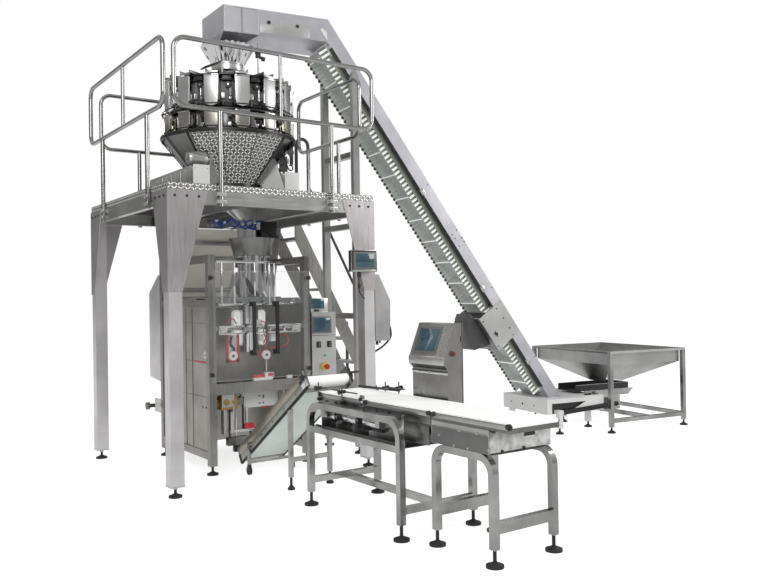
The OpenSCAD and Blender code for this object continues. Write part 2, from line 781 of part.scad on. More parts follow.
module bagger_frame() color(steel) {
    r = frame_rail;
    for (x = [bag_x, bag_in1], y = [bag_y, bag_y1 - post_w])
        block([x, y, bag_foot], [x + post_w, y + post_w, bag_h]);
    block([bag_in0, bag_y1 - post_w, bag_h - r], [bag_in1, bag_y1, bag_h]);
    for (x = [bag_x, bag_in1], z = [bag_foot + 50, collar_z - 10 - r, bag_h - r])
        block([x, bag_y + post_w, z], [x + post_w, bag_y1 - post_w, z + r]);
    block([bag_in0, bag_y, jaw_beam_z], [bag_in1, bag_y + post_w, jaw_beam_z + 90]);
    block([bag_in0, bag_y1 - post_w, bag_foot + 50], [bag_in1, bag_y1, bag_foot + 50 + r]);
}

// Lower side panels and the upright plate that carries the machinery
module bagger_panels() color(grey) {
    z0 = bag_foot + 50 + frame_rail;
    for (x = [bag_x + 10, bag_x1 - 16])
        block([x, bag_y + post_w, z0], [x + 6, bag_y1 - post_w, collar_z - 10 - frame_rail]);
    block([bag_in0, form_axis + 280, z0], [bag_in1, form_axis + 288, collar_z - 80]);
    for (x = [bag_in0 - 60 + 6, bag_in1])
        block([x, form_axis + 270, z0], [x + 54, form_axis + 298, collar_z - 80]);
}

module forming_tube() color(bright)
    translate([form_x, form_axis, form_low]) difference() {
        cylinder(d = form_d, h = bag_h + 25 - form_low);
        translate([0, 0, -1]) cylinder(d = form_d - 2 * sheet, h = bag_h + 27 - form_low);
    }

collar_r = form_d / 2 + 0.3;

// Shoulder that folds the film round the tube, on its plate and two cross bars
module forming_collar() color(bright) {
    translate([form_x, form_axis, 0]) difference() {
        union() {
            translate([0, 0, collar_z + 10]) cylinder(r1 = 175, r2 = collar_r + 6, h = 160);
            block([-210, -190, collar_z], [210, 190, collar_z + 10]);
        }
        translate([0, 0, collar_z - 1]) cylinder(r = collar_r, h = 200);
    }
    for (y = [-160, 140])
        block([bag_in0, form_axis + y, collar_z - 10 - 40], [bag_in1, form_axis + y + 20, collar_z]);
}

belt_x = form_d / 2 + 0.3;

// Two upright belts that pull the film down the tube
module pull_belts() color(grey)
    for (s = [-1, 1]) translate([form_x, form_axis, 1000]) mirror([s < 0 ? 1 : 0, 0, 0])
        translate([belt_x, 0, 0]) {
            for (z = [30, 270]) translate([30, 25, z]) rotate([90, 0, 0]) cylinder(r = 30, h = 50);
            block([0, -25, 30], [60, 25, 270]);
            block([20, -35, 20], [40, -25, 280]);
        }

// Slotted bar between the front posts, with the arms that hold the belts
module belt_bar() color(bright) {
    block([bag_in0, bag_y + 20, bar_z], [bag_in1, bag_y + 50, bar_z + bar_h]);
    for (s = [-1, 1]) {
        x = form_x + s * (belt_x + 30);
        block([x - 10, bag_y + 50, bar_z + 8], [x + 10, form_axis - 35, bar_z + 32]);
    }
}

jaw_z = 560;

module sealing_jaws() color(bright)
    for (y = [-jaw_d - 6, 6])
        block([form_x - jaw_len / 2, form_axis + y, jaw_z],
            [form_x + jaw_len / 2, form_axis + y + jaw_d, jaw_z + jaw_h]);

// Side plates, guide rods, gearbox and cylinder that close the jaws
module jaw_drive() color([0.62, 0.48, 0.24]) {
    for (s = [-1, 1]) {
        x = form_x + s * (jaw_len / 2 + 20);
        block([x - 8, bag_y + post_w, 480], [x + 8, form_axis + 280, 700]);
        for (y = [-jaw_d - 6, 6]) {
            block([min(x - s * 8, form_x + s * jaw_len / 2), form_axis + y + 15, jaw_z + 20],
                [max(x - s * 8, form_x + s * jaw_len / 2), form_axis + y + 45, jaw_z + 50]);
        }
    }
    block([form_x - jaw_len / 2 - 120, bag_y + post_w, 520], [form_x - jaw_len / 2 - 28, bag_y + post_w + 110, 620]);
    translate([form_x - jaw_len / 2 - 75, bag_y + post_w + 55, 300]) cylinder(r = 28, h = 220);
}

// Two inclined plates at the frame's sides, with the film's guide rollers between them
module film_arms() color(steel) {
    y0 = form_axis + 330;
    for (x = [bag_in0, bag_in1 - arm_t]) side_plate(x, arm_t, [
        [y0, bag_h + 200], [y0 + 120, bag_h + 200], [bag_y1 - post_w - 5, bag_h - 190],
        [bag_y1 - post_w - 5, bag_h - 330], [bag_y1 - 180, bag_h - 330], [y0, bag_h + 40]]);
    for (c = [[y0 + 60, 140], [y0 + 180, 10], [bag_y1 - 200, -130], [bag_y1 - 130, -270]])
        translate([bag_in0 + arm_t, c[0], bag_h + c[1]]) rotate([0, 90, 0])
            cylinder(r = 22, h = bag_in1 - bag_in0 - 2 * arm_t);
}

module film_roll() color(white) {
    translate([bag_x + 100, roll_y, roll_z]) rotate([0, 90, 0]) cylinder(r = roll_r, h = bag_w - 200);
    translate([bag_x - 60, roll_y, roll_z]) rotate([0, 90, 0]) cylinder(r = 16, h = bag_w + 100);
    translate([bag_x - 75, roll_y, roll_z]) rotate([0, 90, 0]) cylinder(r = 32, h = 25);
    for (x = [bag_x + 20, bag_x1 - 35])
        block([x, bag_y1, roll_z - 60], [x + 15, roll_y + 50, roll_z + 60]);
}

module rear_cabinet() color(bright)
    side_plate(bag_x, bag_w, [
        [bag_y1, cab_z], [bag_y1 + cab_d, cab_z + 30], [bag_y1 + cab_d, bag_h - 290],
        [bag_y1 + 40, bag_h - 130], [bag_y1, bag_h - 130]]);

module at_hinges() {
    for (z = hinge_levels) {
        translate([bag_x + hinge_in, hinge_y, z]) children();
        translate([bag_x1 - hinge_in, hinge_y, z]) mirror([1, 0, 0]) children();
    }
}

// Fixed knuckles on the front posts: a bored barrel on a block
module door_hinges() color(dark) at_hinges() difference() {
    union() {
        cylinder(r = hinge_r, h = hinge_h);
        block([-hinge_in, 0, 0], [hinge_in, hinge_off, hinge_h]);
    }
    translate([0, 0, -1]) cylinder(r = hinge_pin_r + pin_clear, h = hinge_h + 2);
}

// Clear door in its closed place, hinged at its left edge at the origin
module door() {
    front_face = -door_t / 2;
    block([hinge_r + 4, front_face, door_z], [door_w, front_face + door_t, door_z + door_h]);
    for (z = hinge_levels) {
        translate([0, 0, z - 0.5 - hinge_h]) cylinder(r = hinge_r, h = hinge_h);
        translate([0, 0, z - 1]) cylinder(r = hinge_pin_r, h = hinge_h + 4);
        block([0, front_face, z - 0.5 - hinge_h], [hinge_r + 6, front_face + door_t, z - 0.5]);
    }
}

module handle() {
    x = door_w - handle_in;
    out = -door_t / 2 - 60;
    translate([x, out, handle_z]) cylinder(d = handle_d, h = handle_h);
    for (z = [handle_z + 30, handle_z + handle_h - 30])
        translate([x, -door_t / 2, z]) rotate([90, 0, 0]) cylinder(d = 18, h = 60);
}

module at_left_door() translate([bag_x + hinge_in, hinge_y, 0]) children();

module at_right_door() translate([bag_x1 - hinge_in, hinge_y, 0]) mirror([1, 0, 0]) children();

module left_door() color([0.8, 0.86, 0.88, 0.4]) at_left_door() door();
module right_door() color([0.8, 0.86, 0.88, 0.4]) at_right_door() door();
module left_handle() color(dark) at_left_door() handle();
module right_handle() color(dark) at_right_door() handle();

module control_box() color(steel) {
    x = bag_x1 + 12;
    y = bag_y - 10;
    block([x, y, ctrl_z], [x + ctrl_w, y + ctrl_d, ctrl_z + ctrl_h]);
    block([x, y + 20, ctrl_z + ctrl_h], [x + 170, y + 90, ctrl_z + ctrl_h + 120]);
    for (z = [ctrl_z + 80, ctrl_z + ctrl_h - 110]) block([bag_x1, y + 30, z], [x, y + 70, z + 30]);
}

module weigher_screen() color(dark) {
    y = plat_y0 - gusset_t - 70;
    block([leg_span_x - 215, y, screen_z], [leg_span_x + 25, y + 50, screen_z + 170]);
    block([leg_span_x - 20, y + 50, screen_z + 40], [leg_span_x + 20, plat_y0 - gusset_t, screen_z + 130]);
}

module air_cabinet() color(bright) {
    x = plat_x1 + gusset_t;
    front_plate(plat_y0, 100, [
        [x, 1030], [x + 150, 1030], [x + 150, 1370], [x + 40, 1580], [x, 1580]]);
    block([plat_x1, plat_y0 + 10, 1040], [x, plat_y0 + 90, deck_low - gusset_h - 20]);
}

// Height of the take-off conveyor's underside at a distance y
function take_under(y) = take_z - (y - take_y) * tan(take_slope) - take_t / cos(take_slope);

module on_takeoff() translate([take_x, take_y, take_z]) rotate([-take_slope, 0, 0]) children();

module takeoff_conveyor() color(grey) on_takeoff() {
    for (x = [0, take_w - 10]) translate([x, 0, -take_t]) cube([10, take_len, take_t + take_guard]);
    for (y = [60, take_len - 100]) translate([10, y, -take_t]) cube([take_w - 20, 40, 12]);
}

module takeoff_belt() color(white) on_takeoff() {
    r = 32;
    top = take_guard - 45;
    for (y = [35, take_len - 35])
        translate([10.3, y, top - r]) rotate([0, 90, 0]) cylinder(r = r, h = take_w - 20.6);
    translate([10.3, 35, top - 2 * r]) cube([take_w - 20.6, take_len - 70, 2 * r]);
    for (y = [120:200:take_len - 80]) translate([30, y, top]) cube([take_w - 60, 6, 30]);
}

stand_foot = 90;
take_leg = 30;
take_feet = [-330, 310];

module at_takeoff_feet() for (x = [take_x + take_leg / 2, take_x + take_w - take_leg / 2])
    translate([x, take_feet[0] + take_leg / 2, 0]) children();

// Front legs under the channels, and low caster posts beside the tail
module takeoff_stand() color(steel) {
    y = take_feet[0];
    for (x = [take_x, take_x + take_w - take_leg]) side_plate(x, take_leg, [
        [y, stand_foot], [y + take_leg, stand_foot],
        [y + take_leg, take_under(y + take_leg)], [y, take_under(y)]]);
    block([take_x + take_leg, y + 5, 200], [take_x + take_w - take_leg, y + 35, 230]);
    for (x = [take_x - 20, take_x + take_w]) {
        block([x, take_feet[1], 60], [x + 20, take_feet[1] + 30, take_under(take_feet[1]) + 80]);
        translate([x + 1, take_feet[1] + 15, 35]) rotate([0, 90, 0]) cylinder(r = 35, h = 18);
    }
    block([take_x, take_feet[1] + 5, 90], [take_x + take_w, take_feet[1] + 25, 110]);
}

stand_x = [chk_x - 275, chk_x + 270];
// The stand ends under the second belt, and the reject stand begins where that belt ends
chk_split = chk_y0 + chk_l * chk_parts[2];
stand_y = [161 - chk_split, -chk_y0 - 60];

module at_stand_feet() for (x = stand_x, y = stand_y) translate([x, y, 0]) children();

module checkweigher_stand() color(steel) {
    l = stand_y[1] - stand_y[0];
    s = stand_w / 2;
    for (x = stand_x) {
        translate([x, stand_y[0], stand_foot]) rotate([0, 0, 90])
            square_arch(l, arch_z - stand_foot, arch_bend, stand_w);
        block([x - 20, stand_y[0] + s, 500], [x + 20, stand_y[1] - s, 540]);
    }
    for (y = [stand_y[0] + 180, stand_y[1] - 220])
        block([stand_x[0] - s, y, chk_bed - 40], [stand_x[1] + s, y + 40, chk_bed]);
    for (y = stand_y) block([stand_x[0] + s, y - 20, 150], [stand_x[1] - s, y + 20, 190]);
    block([chk_x - 20, stand_y[0] + 20, 150], [chk_x + 20, stand_y[1] - 20, 190]);
}

reject_x = [chk_x - 165, chk_x + 270];
reject_in = 145;
reject_y = [reject_in - chk_y0 - chk_l, -29 - chk_split];
reject_z = 555;

module at_reject_feet() for (x = reject_x, y = reject_y) translate([x, y, 0]) children();

module reject_stand() color(steel) {
    l = reject_y[1] - reject_y[0];
    s = stand_w / 2;
    for (x = reject_x) translate([x, reject_y[0], stand_foot]) rotate([0, 0, 90])
        square_arch(l, reject_z - stand_foot, arch_bend - 20, stand_w);
    for (y = reject_y) block([reject_x[0] + s, y - 20, 170], [reject_x[1] - s, y + 20, 230]);
    for (y = [reject_y[0] + 130, reject_y[1] - 170])
        block([reject_x[0] + s, y, reject_z - 20], [reject_x[1] - s, y + 40, reject_z + s]);
}

function chk_at(i) = -chk_y0 - chk_l * chk_parts[i];

module checkweigher_bed() color(grey)
    for (i = [0:2]) {
        low = i < 2 ? chk_bed : chk_z - belt_t - 35;
        block([chk_x - chk_w / 2, chk_at(i + 1) + chk_gap / 2, low],
            [chk_x + chk_w / 2, chk_at(i) - chk_gap / 2, chk_z - belt_t]);
    }

module checkweigher_belt() color(white)
    for (i = [0:2])
        block([chk_x - chk_w / 2 + 8, chk_at(i + 1) + chk_gap / 2, chk_z - belt_t],
            [chk_x + chk_w / 2 - 8, chk_at(i) - chk_gap / 2, chk_z]);

module reject_box() color(steel)
    block([chk_x - 180, reject_y[0] + 15, reject_z + stand_w / 2],
        [chk_x + 275, reject_y[1] + 20, chk_z - belt_t - 35]);

// Upright cabinet with a sloped screen face, on the stand's right arch
module console() color(steel) {
    z = arch_z + stand_w / 2;
    front_plate(-chk_y0 - 920, 360, [
        [console_x, z], [console_x + console_d, z], [console_x + console_d, console_h],
        [console_x + 60, console_h], [console_x - 30, 1000], [console_x - 30, 960], [console_x, 930]]);
}

platform_legs();
levelling_feet();
platform_gussets();
platform_beams();
platform_deck();
front_railing();
left_railing();
back_railing();
right_railing();
stair_stringers();
stair_treads();
stair_handrails();
weigher_base();
discharge_cone();
ring_plate();
lower_buckets();
upper_buckets();
weigher_drum();
infeed_funnel();
elevator_props();
elevator_casing();
elevator_belt();
elevator_head();
elevator_boot();
elevator_drive();
hopper_bin();
hopper_frame();
feeder_pan();
feeder_drive();
collecting_funnel();
bagger_frame();
bagger_panels();
forming_tube();
forming_collar();
pull_belts();
belt_bar();
sealing_jaws();
jaw_drive();
film_arms();
film_roll();
rear_cabinet();
door_hinges();
left_door();
left_handle();
right_door();
right_handle();
control_box();
weigher_screen();
air_cabinet();
takeoff_conveyor();
takeoff_belt();
takeoff_stand();
checkweigher_stand();
reject_stand();
checkweigher_bed();
checkweigher_belt();
reject_box();
console();
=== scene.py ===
# %% [markdown]
# A vertical form fill seal packing line, dressed in Blender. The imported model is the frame:
# a bagger under a weigher platform, a belt elevator with its hopper, and a checkweigher.
# Its nodes keep their shape and get a finish, and small parts are modelled on top of them.

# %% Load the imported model
import math

import bpy
from mathutils import Matrix, Vector


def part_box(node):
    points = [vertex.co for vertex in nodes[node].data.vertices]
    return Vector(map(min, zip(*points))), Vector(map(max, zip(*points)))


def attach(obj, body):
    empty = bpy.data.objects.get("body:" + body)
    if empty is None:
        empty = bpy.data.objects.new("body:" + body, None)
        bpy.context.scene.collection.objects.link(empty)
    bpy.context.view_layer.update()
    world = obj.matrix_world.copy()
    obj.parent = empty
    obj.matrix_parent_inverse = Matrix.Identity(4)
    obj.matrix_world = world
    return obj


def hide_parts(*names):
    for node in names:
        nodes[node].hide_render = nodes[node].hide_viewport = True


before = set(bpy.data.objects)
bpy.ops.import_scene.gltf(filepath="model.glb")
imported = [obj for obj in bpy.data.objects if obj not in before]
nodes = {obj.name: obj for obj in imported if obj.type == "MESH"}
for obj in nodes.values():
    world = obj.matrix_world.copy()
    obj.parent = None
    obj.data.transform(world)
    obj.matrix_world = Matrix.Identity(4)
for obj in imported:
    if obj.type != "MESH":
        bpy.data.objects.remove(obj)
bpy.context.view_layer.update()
mm = 0.001
print(len(nodes), "nodes loaded")

# %% [markdown]
# The picture was taken at eye height from the front left, with a lens a little wider than
# normal. The camera repeats that place. It could be aimed with a Track To constraint, but the
# right and up axes are known, so all three axes are set as the columns of a matrix.

# %% Camera
camera_place = Vector((-2.0699, -5.5144, 1.40))
camera_right = Vector((0.8162, -0.5776, -0.0158))
camera_up = Vector((0.0072, -0.0173, 0.9998))
lens = 37.69

bpy.ops.object.camera_add()
camera = bpy.context.object
camera.data.lens = lens
camera.data.sensor_width = 36
axes = Matrix((camera_right, camera_up, camera_right.cross(camera_up))).transposed()
camera.matrix_world = Matrix.Translation(camera_place) @ axes.to_4x4()
bpy.context.scene.camera = camera
bpy.context.scene.view_settings.view_transform = "Standard"

# %% [markdown]
# Bare steel shows its surroundings, so the world matters more than the lamps. The camera sees
# plain white. Reflections see a studio that is bright above, grey near the floor, a little
# darker to the left, and broken by soft dark flags, which draw the streaks that make steel
# look like steel. Many small lamps could draw them too, but would also bleach the paint.

# %% World
world = bpy.data.worlds.new("studio")
bpy.context.scene.world = world
world.use_nodes = True
tree = world.node_tree
tree.nodes.clear()


def node(tree, kind, **values):
    """Adds one shader node and sets its properties, and its sockets by name."""
    made = tree.nodes.new(kind)
    for name, value in values.items():
        if hasattr(made, name):
            setattr(made, name, value)
        else:
            made.inputs[name.replace("_", " ")].default_value = value
    return made


def wire(tree, *wires):
    """Links nodes. A wire is a node and its output, then a node and its input."""
    for source, output, target, socket in wires:
        tree.links.new(source.outputs[output], target.inputs[socket])


def from_to(tree, low, high, low_result=0.0, high_result=1.0):
    """A Map Range node, which turns one stretch of values into another."""
    return node(tree, "ShaderNodeMapRange", From_Min=low, From_Max=high, To_Min=low_result,
        To_Max=high_result)


studio_low = 0.22
studio_high = 0.90
flag_dark = 0.36
left_dark = 0.62

direction = node(tree, "ShaderNodeTexCoord")
split = node(tree, "ShaderNodeSeparateXYZ")
height = from_to(tree, -0.25, 0.75, studio_low, studio_high)
flags = node(tree, "ShaderNodeTexNoise", Scale=1.9, Detail=1.0)
flag_depth = from_to(tree, 0.42, 0.56, flag_dark)
shade = node(tree, "ShaderNodeMath", operation="MULTIPLY")
left_side = from_to(tree, -0.9, -0.2, left_dark)
shaded = node(tree, "ShaderNodeMath", operation="MULTIPLY")
ray = node(tree, "ShaderNodeLightPath")
seen = node(tree, "ShaderNodeMath", operation="MAXIMUM")
choose = node(tree, "ShaderNodeMix", data_type="FLOAT")
choose.inputs["B"].default_value = 1.0
background = node(tree, "ShaderNodeBackground", Color=(1, 1, 1, 1))
output = node(tree, "ShaderNodeOutputWorld")
wire(tree,
    (direction, "Generated", split, 0), (split, "Z", height, "Value"),
    (direction, "Generated", flags, "Vector"), (flags, "Fac", flag_depth, "Value"),
    (height, "Result", shade, 0), (flag_depth, "Result", shade, 1),
    (split, "X", left_side, "Value"), (shade, 0, shaded, 0), (left_side, "Result", shaded, 1),
    (ray, "Is Camera Ray", seen, 0), (ray, "Is Transmission Ray", seen, 1),
    (seen, 0, choose, "Factor"), (shaded, 0, choose, "A"),
    (choose, "Result", background, "Strength"), (background, 0, output, "Surface"))

# %% [markdown]
# Two large soft lamps give the steel its direction: a key from the upper left of the camera,
# as in the picture, and a weaker one from the right. Area lamps are used because their edges
# show in polished tubes as soft bands, where a point lamp would leave hard dots.

# %% Lamps
centre = Vector((1.6, 0.3, 1.4))


def soft_lamp(name, place, size, power):
    bpy.ops.object.light_add(type="AREA", location=place)
    lamp = bpy.context.object
    lamp.name = name
    lamp.data.size = size
    lamp.data.energy = power
    lamp.rotation_euler = (Vector(place) - centre).to_track_quat("Z", "Y").to_euler()


soft_lamp("key_lamp", (-3.5, -5.5, 5.5), 4.5, 260)
soft_lamp("side_lamp", (7.5, -4.0, 4.0), 3.0, 160)

# %% [markdown]
# The floor is a stage and not part of the machine. To the camera it glows almost white, and
# its diffuse part keeps the soft shadows under the feet. Reflections see an even pale glow.

# %% Floor
floor_size = 80
floor_glow = 0.76
floor_reflected = 0.75
bpy.ops.mesh.primitive_plane_add(size=floor_size, location=(0, 0, 0))
floor = bpy.context.object
floor.name = "studio_floor"
floor_finish = bpy.data.materials.new("studio_floor")
floor_finish.use_nodes = True
tree = floor_finish.node_tree
tree.nodes.clear()
paint = node(tree, "ShaderNodeBsdfDiffuse", Color=(0.55, 0.55, 0.55, 1))
glow = node(tree, "ShaderNodeEmission", Strength=floor_glow)
both = node(tree, "ShaderNodeAddShader")
plain = node(tree, "ShaderNodeEmission", Strength=floor_reflected)
ray = node(tree, "ShaderNodeLightPath")
mix = node(tree, "ShaderNodeMixShader")
output = node(tree, "ShaderNodeOutputMaterial")
wire(tree,
    (paint, 0, both, 0), (glow, 0, both, 1), (ray, "Is Camera Ray", mix, "Fac"),
    (plain, 0, mix, 1), (both, 0, mix, 2), (mix, 0, output, "Surface"))
floor.data.materials.append(floor_finish)

# %% [markdown]
# Two effects are shared by the finishes, so each is a node group. Brushed grain is noise
# stretched along the direction of polishing. Clouding is the slow change that hands and
# cleaning leave. Both read Object coordinates, so they stay on a part when it moves.

# %% Shared effects


def group(name, inputs, outputs):
    """An empty node group, its inputs with a kind and a value and its outputs with a kind."""
    made = bpy.data.node_groups.new(name, "ShaderNodeTree")
    for label, kind, value in inputs:
        socket = made.interface.new_socket(label, in_out="INPUT", socket_type="NodeSocket" + kind)
        socket.default_value = value
    for label, kind in outputs:
        made.interface.new_socket(label, in_out="OUTPUT", socket_type="NodeSocket" + kind)
    return made, made.nodes.new("NodeGroupInput"), made.nodes.new("NodeGroupOutput")


grain_group, inside, outside = group("brushed_grain",
    [("Stretch", "Vector", (90, 90, 3)), ("Low", "Float", 0.25), ("High", "Float", 0.45)],
    [("Roughness", "Float"), ("Height", "Float")])
place = node(grain_group, "ShaderNodeTexCoord")
stretch = node(grain_group, "ShaderNodeVectorMath", operation="MULTIPLY")
streaks = node(grain_group, "ShaderNodeTexNoise", Scale=1.0, Detail=3.0)
spread = from_to(grain_group, 0.3, 0.7)
wire(grain_group,
    (place, "Object", stretch, 0), (inside, "Stretch", stretch, 1), (stretch, 0, streaks, "Vector"),
    (streaks, "Fac", spread, "Value"), (inside, "Low", spread, "To Min"),
    (inside, "High", spread, "To Max"), (spread, "Result", outside, "Roughness"),
    (streaks, "Fac", outside, "Height"))

cloud_group, inside, outside = group("clouding",
    [("Scale", "Float", 3.0), ("Light", "Color", (0.6, 0.6, 0.6, 1)), ("Dark", "Color", (0.4, 0.4, 0.4, 1))],
    [("Color", "Color")])
place = node(cloud_group, "ShaderNodeTexCoord")
cloud = node(cloud_group, "ShaderNodeTexNoise", Detail=5.0)
soft = from_to(cloud_group, 0.35, 0.65)
blend = node(cloud_group, "ShaderNodeMix", data_type="RGBA")
# A Mix node keeps its colour sockets behind those for numbers and vectors
colour_a, colour_b, colour_result = 6, 7, 2
wire(cloud_group,
    (place, "Object", cloud, "Vector"), (inside, "Scale", cloud, "Scale"),
    (cloud, "Fac", soft, "Value"), (soft, "Result", blend, "Factor"),
    (inside, "Dark", blend, colour_a), (inside, "Light", blend, colour_b),
    (blend, colour_result, outside, "Color"))

# %% [markdown]
# One function makes every solid finish from those effects. A finish differs in its two
# colours, how metallic and how rough it is, and which way its grain runs. The two ends of
# the roughness are what makes satin steel, mirror steel, paint and rubber look different.

# %% Finishes
UPRIGHT = (160, 160, 3)
ACROSS = (3, 160, 160)
AWAY = (160, 3, 160)
FINE = (420, 420, 420)
SATIN = (0.26, 0.42)
SHEET = (0.30, 0.42)
PAINT = (0.25, 0.4)
GLOSS = (0.2, 0.3)


def finish(name, light, dark, metallic, rough, grain=UPRIGHT, bump=0.02, clouds=4.0, coat=0.0, glow=0.0):
    made = bpy.data.materials.new(name)
    made.use_nodes = True
    tree = made.node_tree
    shader = tree.nodes["Principled BSDF"]
    shader.inputs["Metallic"].default_value = metallic
    shader.inputs["Coat Weight"].default_value = coat
    # A glow is painted light: the finish emits its own light colour, which lifts a part that lies in shade
    # though it is no lamp.
    shader.inputs["Emission Color"].default_value = (*light, 1)
    shader.inputs["Emission Strength"].default_value = glow
    colour = node(tree, "ShaderNodeGroup", node_tree=cloud_group)
    colour.inputs["Scale"].default_value = clouds
    colour.inputs["Light"].default_value = (*light, 1)
    colour.inputs["Dark"].default_value = (*dark, 1)
    lines = node(tree, "ShaderNodeGroup", node_tree=grain_group)
    lines.inputs["Stretch"].default_value = grain
    lines.inputs["Low"].default_value = rough[0]
    lines.inputs["High"].default_value = rough[1]
    relief = node(tree, "ShaderNodeBump", Strength=bump, Distance=0.002)
    wire(tree,
        (colour, "Color", shader, "Base Color"), (lines, "Roughness", shader, "Roughness"),
        (lines, "Height", relief, "Height"), (relief, "Normal", shader, "Normal"))
    return made


def grey(level):
    """A grey with a touch of warmth."""
    return (level, level, level * 0.985)


steel = finish("brushed_steel_upright", grey(0.56), grey(0.44), 1.0, SATIN)
steel_across = finish("brushed_steel_across", grey(0.56), grey(0.44), 1.0, SATIN, ACROSS)
steel_away = finish("brushed_steel_away", grey(0.56), grey(0.44), 1.0, SATIN, AWAY)
pale_steel = finish("pale_sheet_steel", grey(0.68), grey(0.58), 1.0, (0.30, 0.44))
warm_steel = finish("warm_satin_steel", (0.47, 0.455, 0.42), (0.36, 0.345, 0.315), 1.0, (0.26, 0.40))
rail_steel = finish("polished_rail_tube", grey(0.46), grey(0.34), 1.0, (0.12, 0.22))
mirror = finish("mirror_steel", (0.78, 0.78, 0.79), (0.66, 0.66, 0.67), 1.0, (0.04, 0.10), bump=0.004)
# Checker plate is one steel: its sheet is painted darker as shade in the gaps, and its lozenges lighter as
# painted highlight on the raised tops. bright_lozenges also glow, as painted light.
plate = finish("embossed_sheet", grey(0.40), grey(0.30), 1.0, SHEET, FINE, clouds=9.0)
raised = finish("raised_lozenges", grey(0.92), grey(0.84), 0.75, (0.16, 0.26), FINE, clouds=9.0)
bright_raised = finish("bright_lozenges", grey(0.95), grey(0.86), 0.45, (0.16, 0.26), FINE,
    clouds=9.0, glow=0.12)
dark_steel = finish("dark_side_steel", grey(0.27), grey(0.19), 1.0, (0.28, 0.42), ACROSS)
black_paint = finish("black_satin_paint", grey(0.030), grey(0.018), 0.0, PAINT, FINE, 0.05)
dark_paint = finish("dark_grey_paint", grey(0.10), grey(0.07), 0.0, (0.3, 0.45), FINE, 0.05)
rubber = finish("black_rubber", grey(0.028), grey(0.018), 0.0, (0.55, 0.7), FINE, 0.15)
plastic = finish("black_plastic", grey(0.022), grey(0.014), 0.0, SHEET, FINE, 0.08)
white_paint = finish("white_paint", grey(0.80), grey(0.74), 0.0, (0.35, 0.5), FINE, 0.04, 2.0)
# white_belt glows: painted light that makes the belts read white where the lamps leave them grey.
white_belt = finish("white_belt", (0.93, 0.94, 0.92), (0.89, 0.90, 0.88), 0.0, (0.4, 0.55), FINE,
    0.06, glow=0.30)
# film_sheet glows a little: painted light on the film web, which hangs in shade under the deck.
film_sheet = finish("film_sheet", (0.70, 0.68, 0.61), (0.60, 0.58, 0.52), 0.0, (0.35, 0.5), AWAY,
    0.05, glow=0.12)
mottled = finish("mottled_sheet", grey(0.86), grey(0.46), 0.9, SATIN, FINE, clouds=22.0)
# green_belt and grey_belt glow a little: painted light on belt undersides that lie in shade.
green_belt = finish("green_white_belt", (0.62, 0.68, 0.63), (0.54, 0.61, 0.56), 0.0, (0.3, 0.45),
    FINE, 0.05, glow=0.10)
grey_belt = finish("grey_belt", (0.50, 0.52, 0.50), (0.43, 0.45, 0.43), 0.0, (0.4, 0.55), FINE,
    0.06, glow=0.14)
green_steel = finish("green_grey_steel", (0.45, 0.48, 0.42), (0.36, 0.39, 0.33), 0.7, SHEET, ACROSS)
wound_film = finish("wound_film", (0.80, 0.80, 0.77), (0.70, 0.70, 0.67), 0.0, (0.18, 0.32), ACROSS, 0.1)
bronze = finish("bronze_housing", (0.42, 0.27, 0.09), (0.33, 0.21, 0.07), 0.6, (0.3, 0.45), FINE, 0.1)
bright_steel = finish("bright_leg_steel", (0.84, 0.82, 0.83), (0.70, 0.68, 0.69), 1.0, (0.28, 0.42))
gusset_steel = finish("gusset_sheet", (0.66, 0.63, 0.635), (0.55, 0.525, 0.53), 1.0, (0.26, 0.40))
tube_steel = finish("tube_steel", grey(0.50), grey(0.32), 1.0, (0.12, 0.24))
shaded_steel = finish("shaded_steel", (0.38, 0.375, 0.36), (0.28, 0.275, 0.26), 1.0, (0.24, 0.36))
olive = finish("olive_steel", (0.50, 0.46, 0.40), (0.40, 0.37, 0.31), 0.8, (0.26, 0.38), ACROSS)
lilac = finish("lilac_sheet", (0.69, 0.68, 0.715), (0.58, 0.57, 0.605), 1.0, (0.38, 0.52), ACROSS)
warm_mirror = finish("warm_mirror_steel", (0.80, 0.78, 0.72), (0.64, 0.61, 0.55), 1.0, (0.06, 0.14),
    bump=0.006)
red = finish("red_plate", (0.55, 0.03, 0.04), (0.45, 0.02, 0.03), 0.0, PAINT, FINE)
dark_red = finish("dark_red_button", (0.20, 0.02, 0.03), (0.16, 0.01, 0.02), 0.0, (0.3, 0.4), FINE)
blue_tube = finish("blue_air_tube", (0.02, 0.10, 0.50), (0.02, 0.07, 0.40), 0.0, GLOSS, FINE)
green_knob = finish("green_button", (0.10, 0.42, 0.32), (0.08, 0.36, 0.28), 0.0, GLOSS, FINE)
yellow = finish("yellow_collar", (0.75, 0.55, 0.05), (0.68, 0.48, 0.04), 0.0, PAINT, FINE)
screen = finish("dark_blue_screen", (0.045, 0.10, 0.13), (0.03, 0.07, 0.095), 0.0, (0.06, 0.10), FINE,
    0.0, coat=0.5)
bezel = finish("grey_bezel", grey(0.16), grey(0.13), 0.0, (0.35, 0.45), FINE, 0.05)


def clear_finish(name, tint, rough, alpha):
    """Clear sheet: mostly see-through, with a gloss that Fresnel brings up at the edges."""
    made = bpy.data.materials.new(name)
    made.use_nodes = True
    shader = made.node_tree.nodes["Principled BSDF"]
    shader.inputs["Base Color"].default_value = (*tint, 1)
    shader.inputs["Roughness"].default_value = rough
    shader.inputs["Alpha"].default_value = alpha
    shader.inputs["IOR"].default_value = 1.45
    return made


clear_panel = clear_finish("clear_acrylic", (0.80, 0.82, 0.83), 0.05, 0.05)
clear_film = clear_finish("clear_film", (0.85, 0.86, 0.86), 0.12, 0.30)
print(len(bpy.data.materials), "materials")

# %% [markdown]
# The nodes of the frame take their finishes here. A node's shape is never touched, only the
# material in its slots. Long parts get the grain that runs along them.

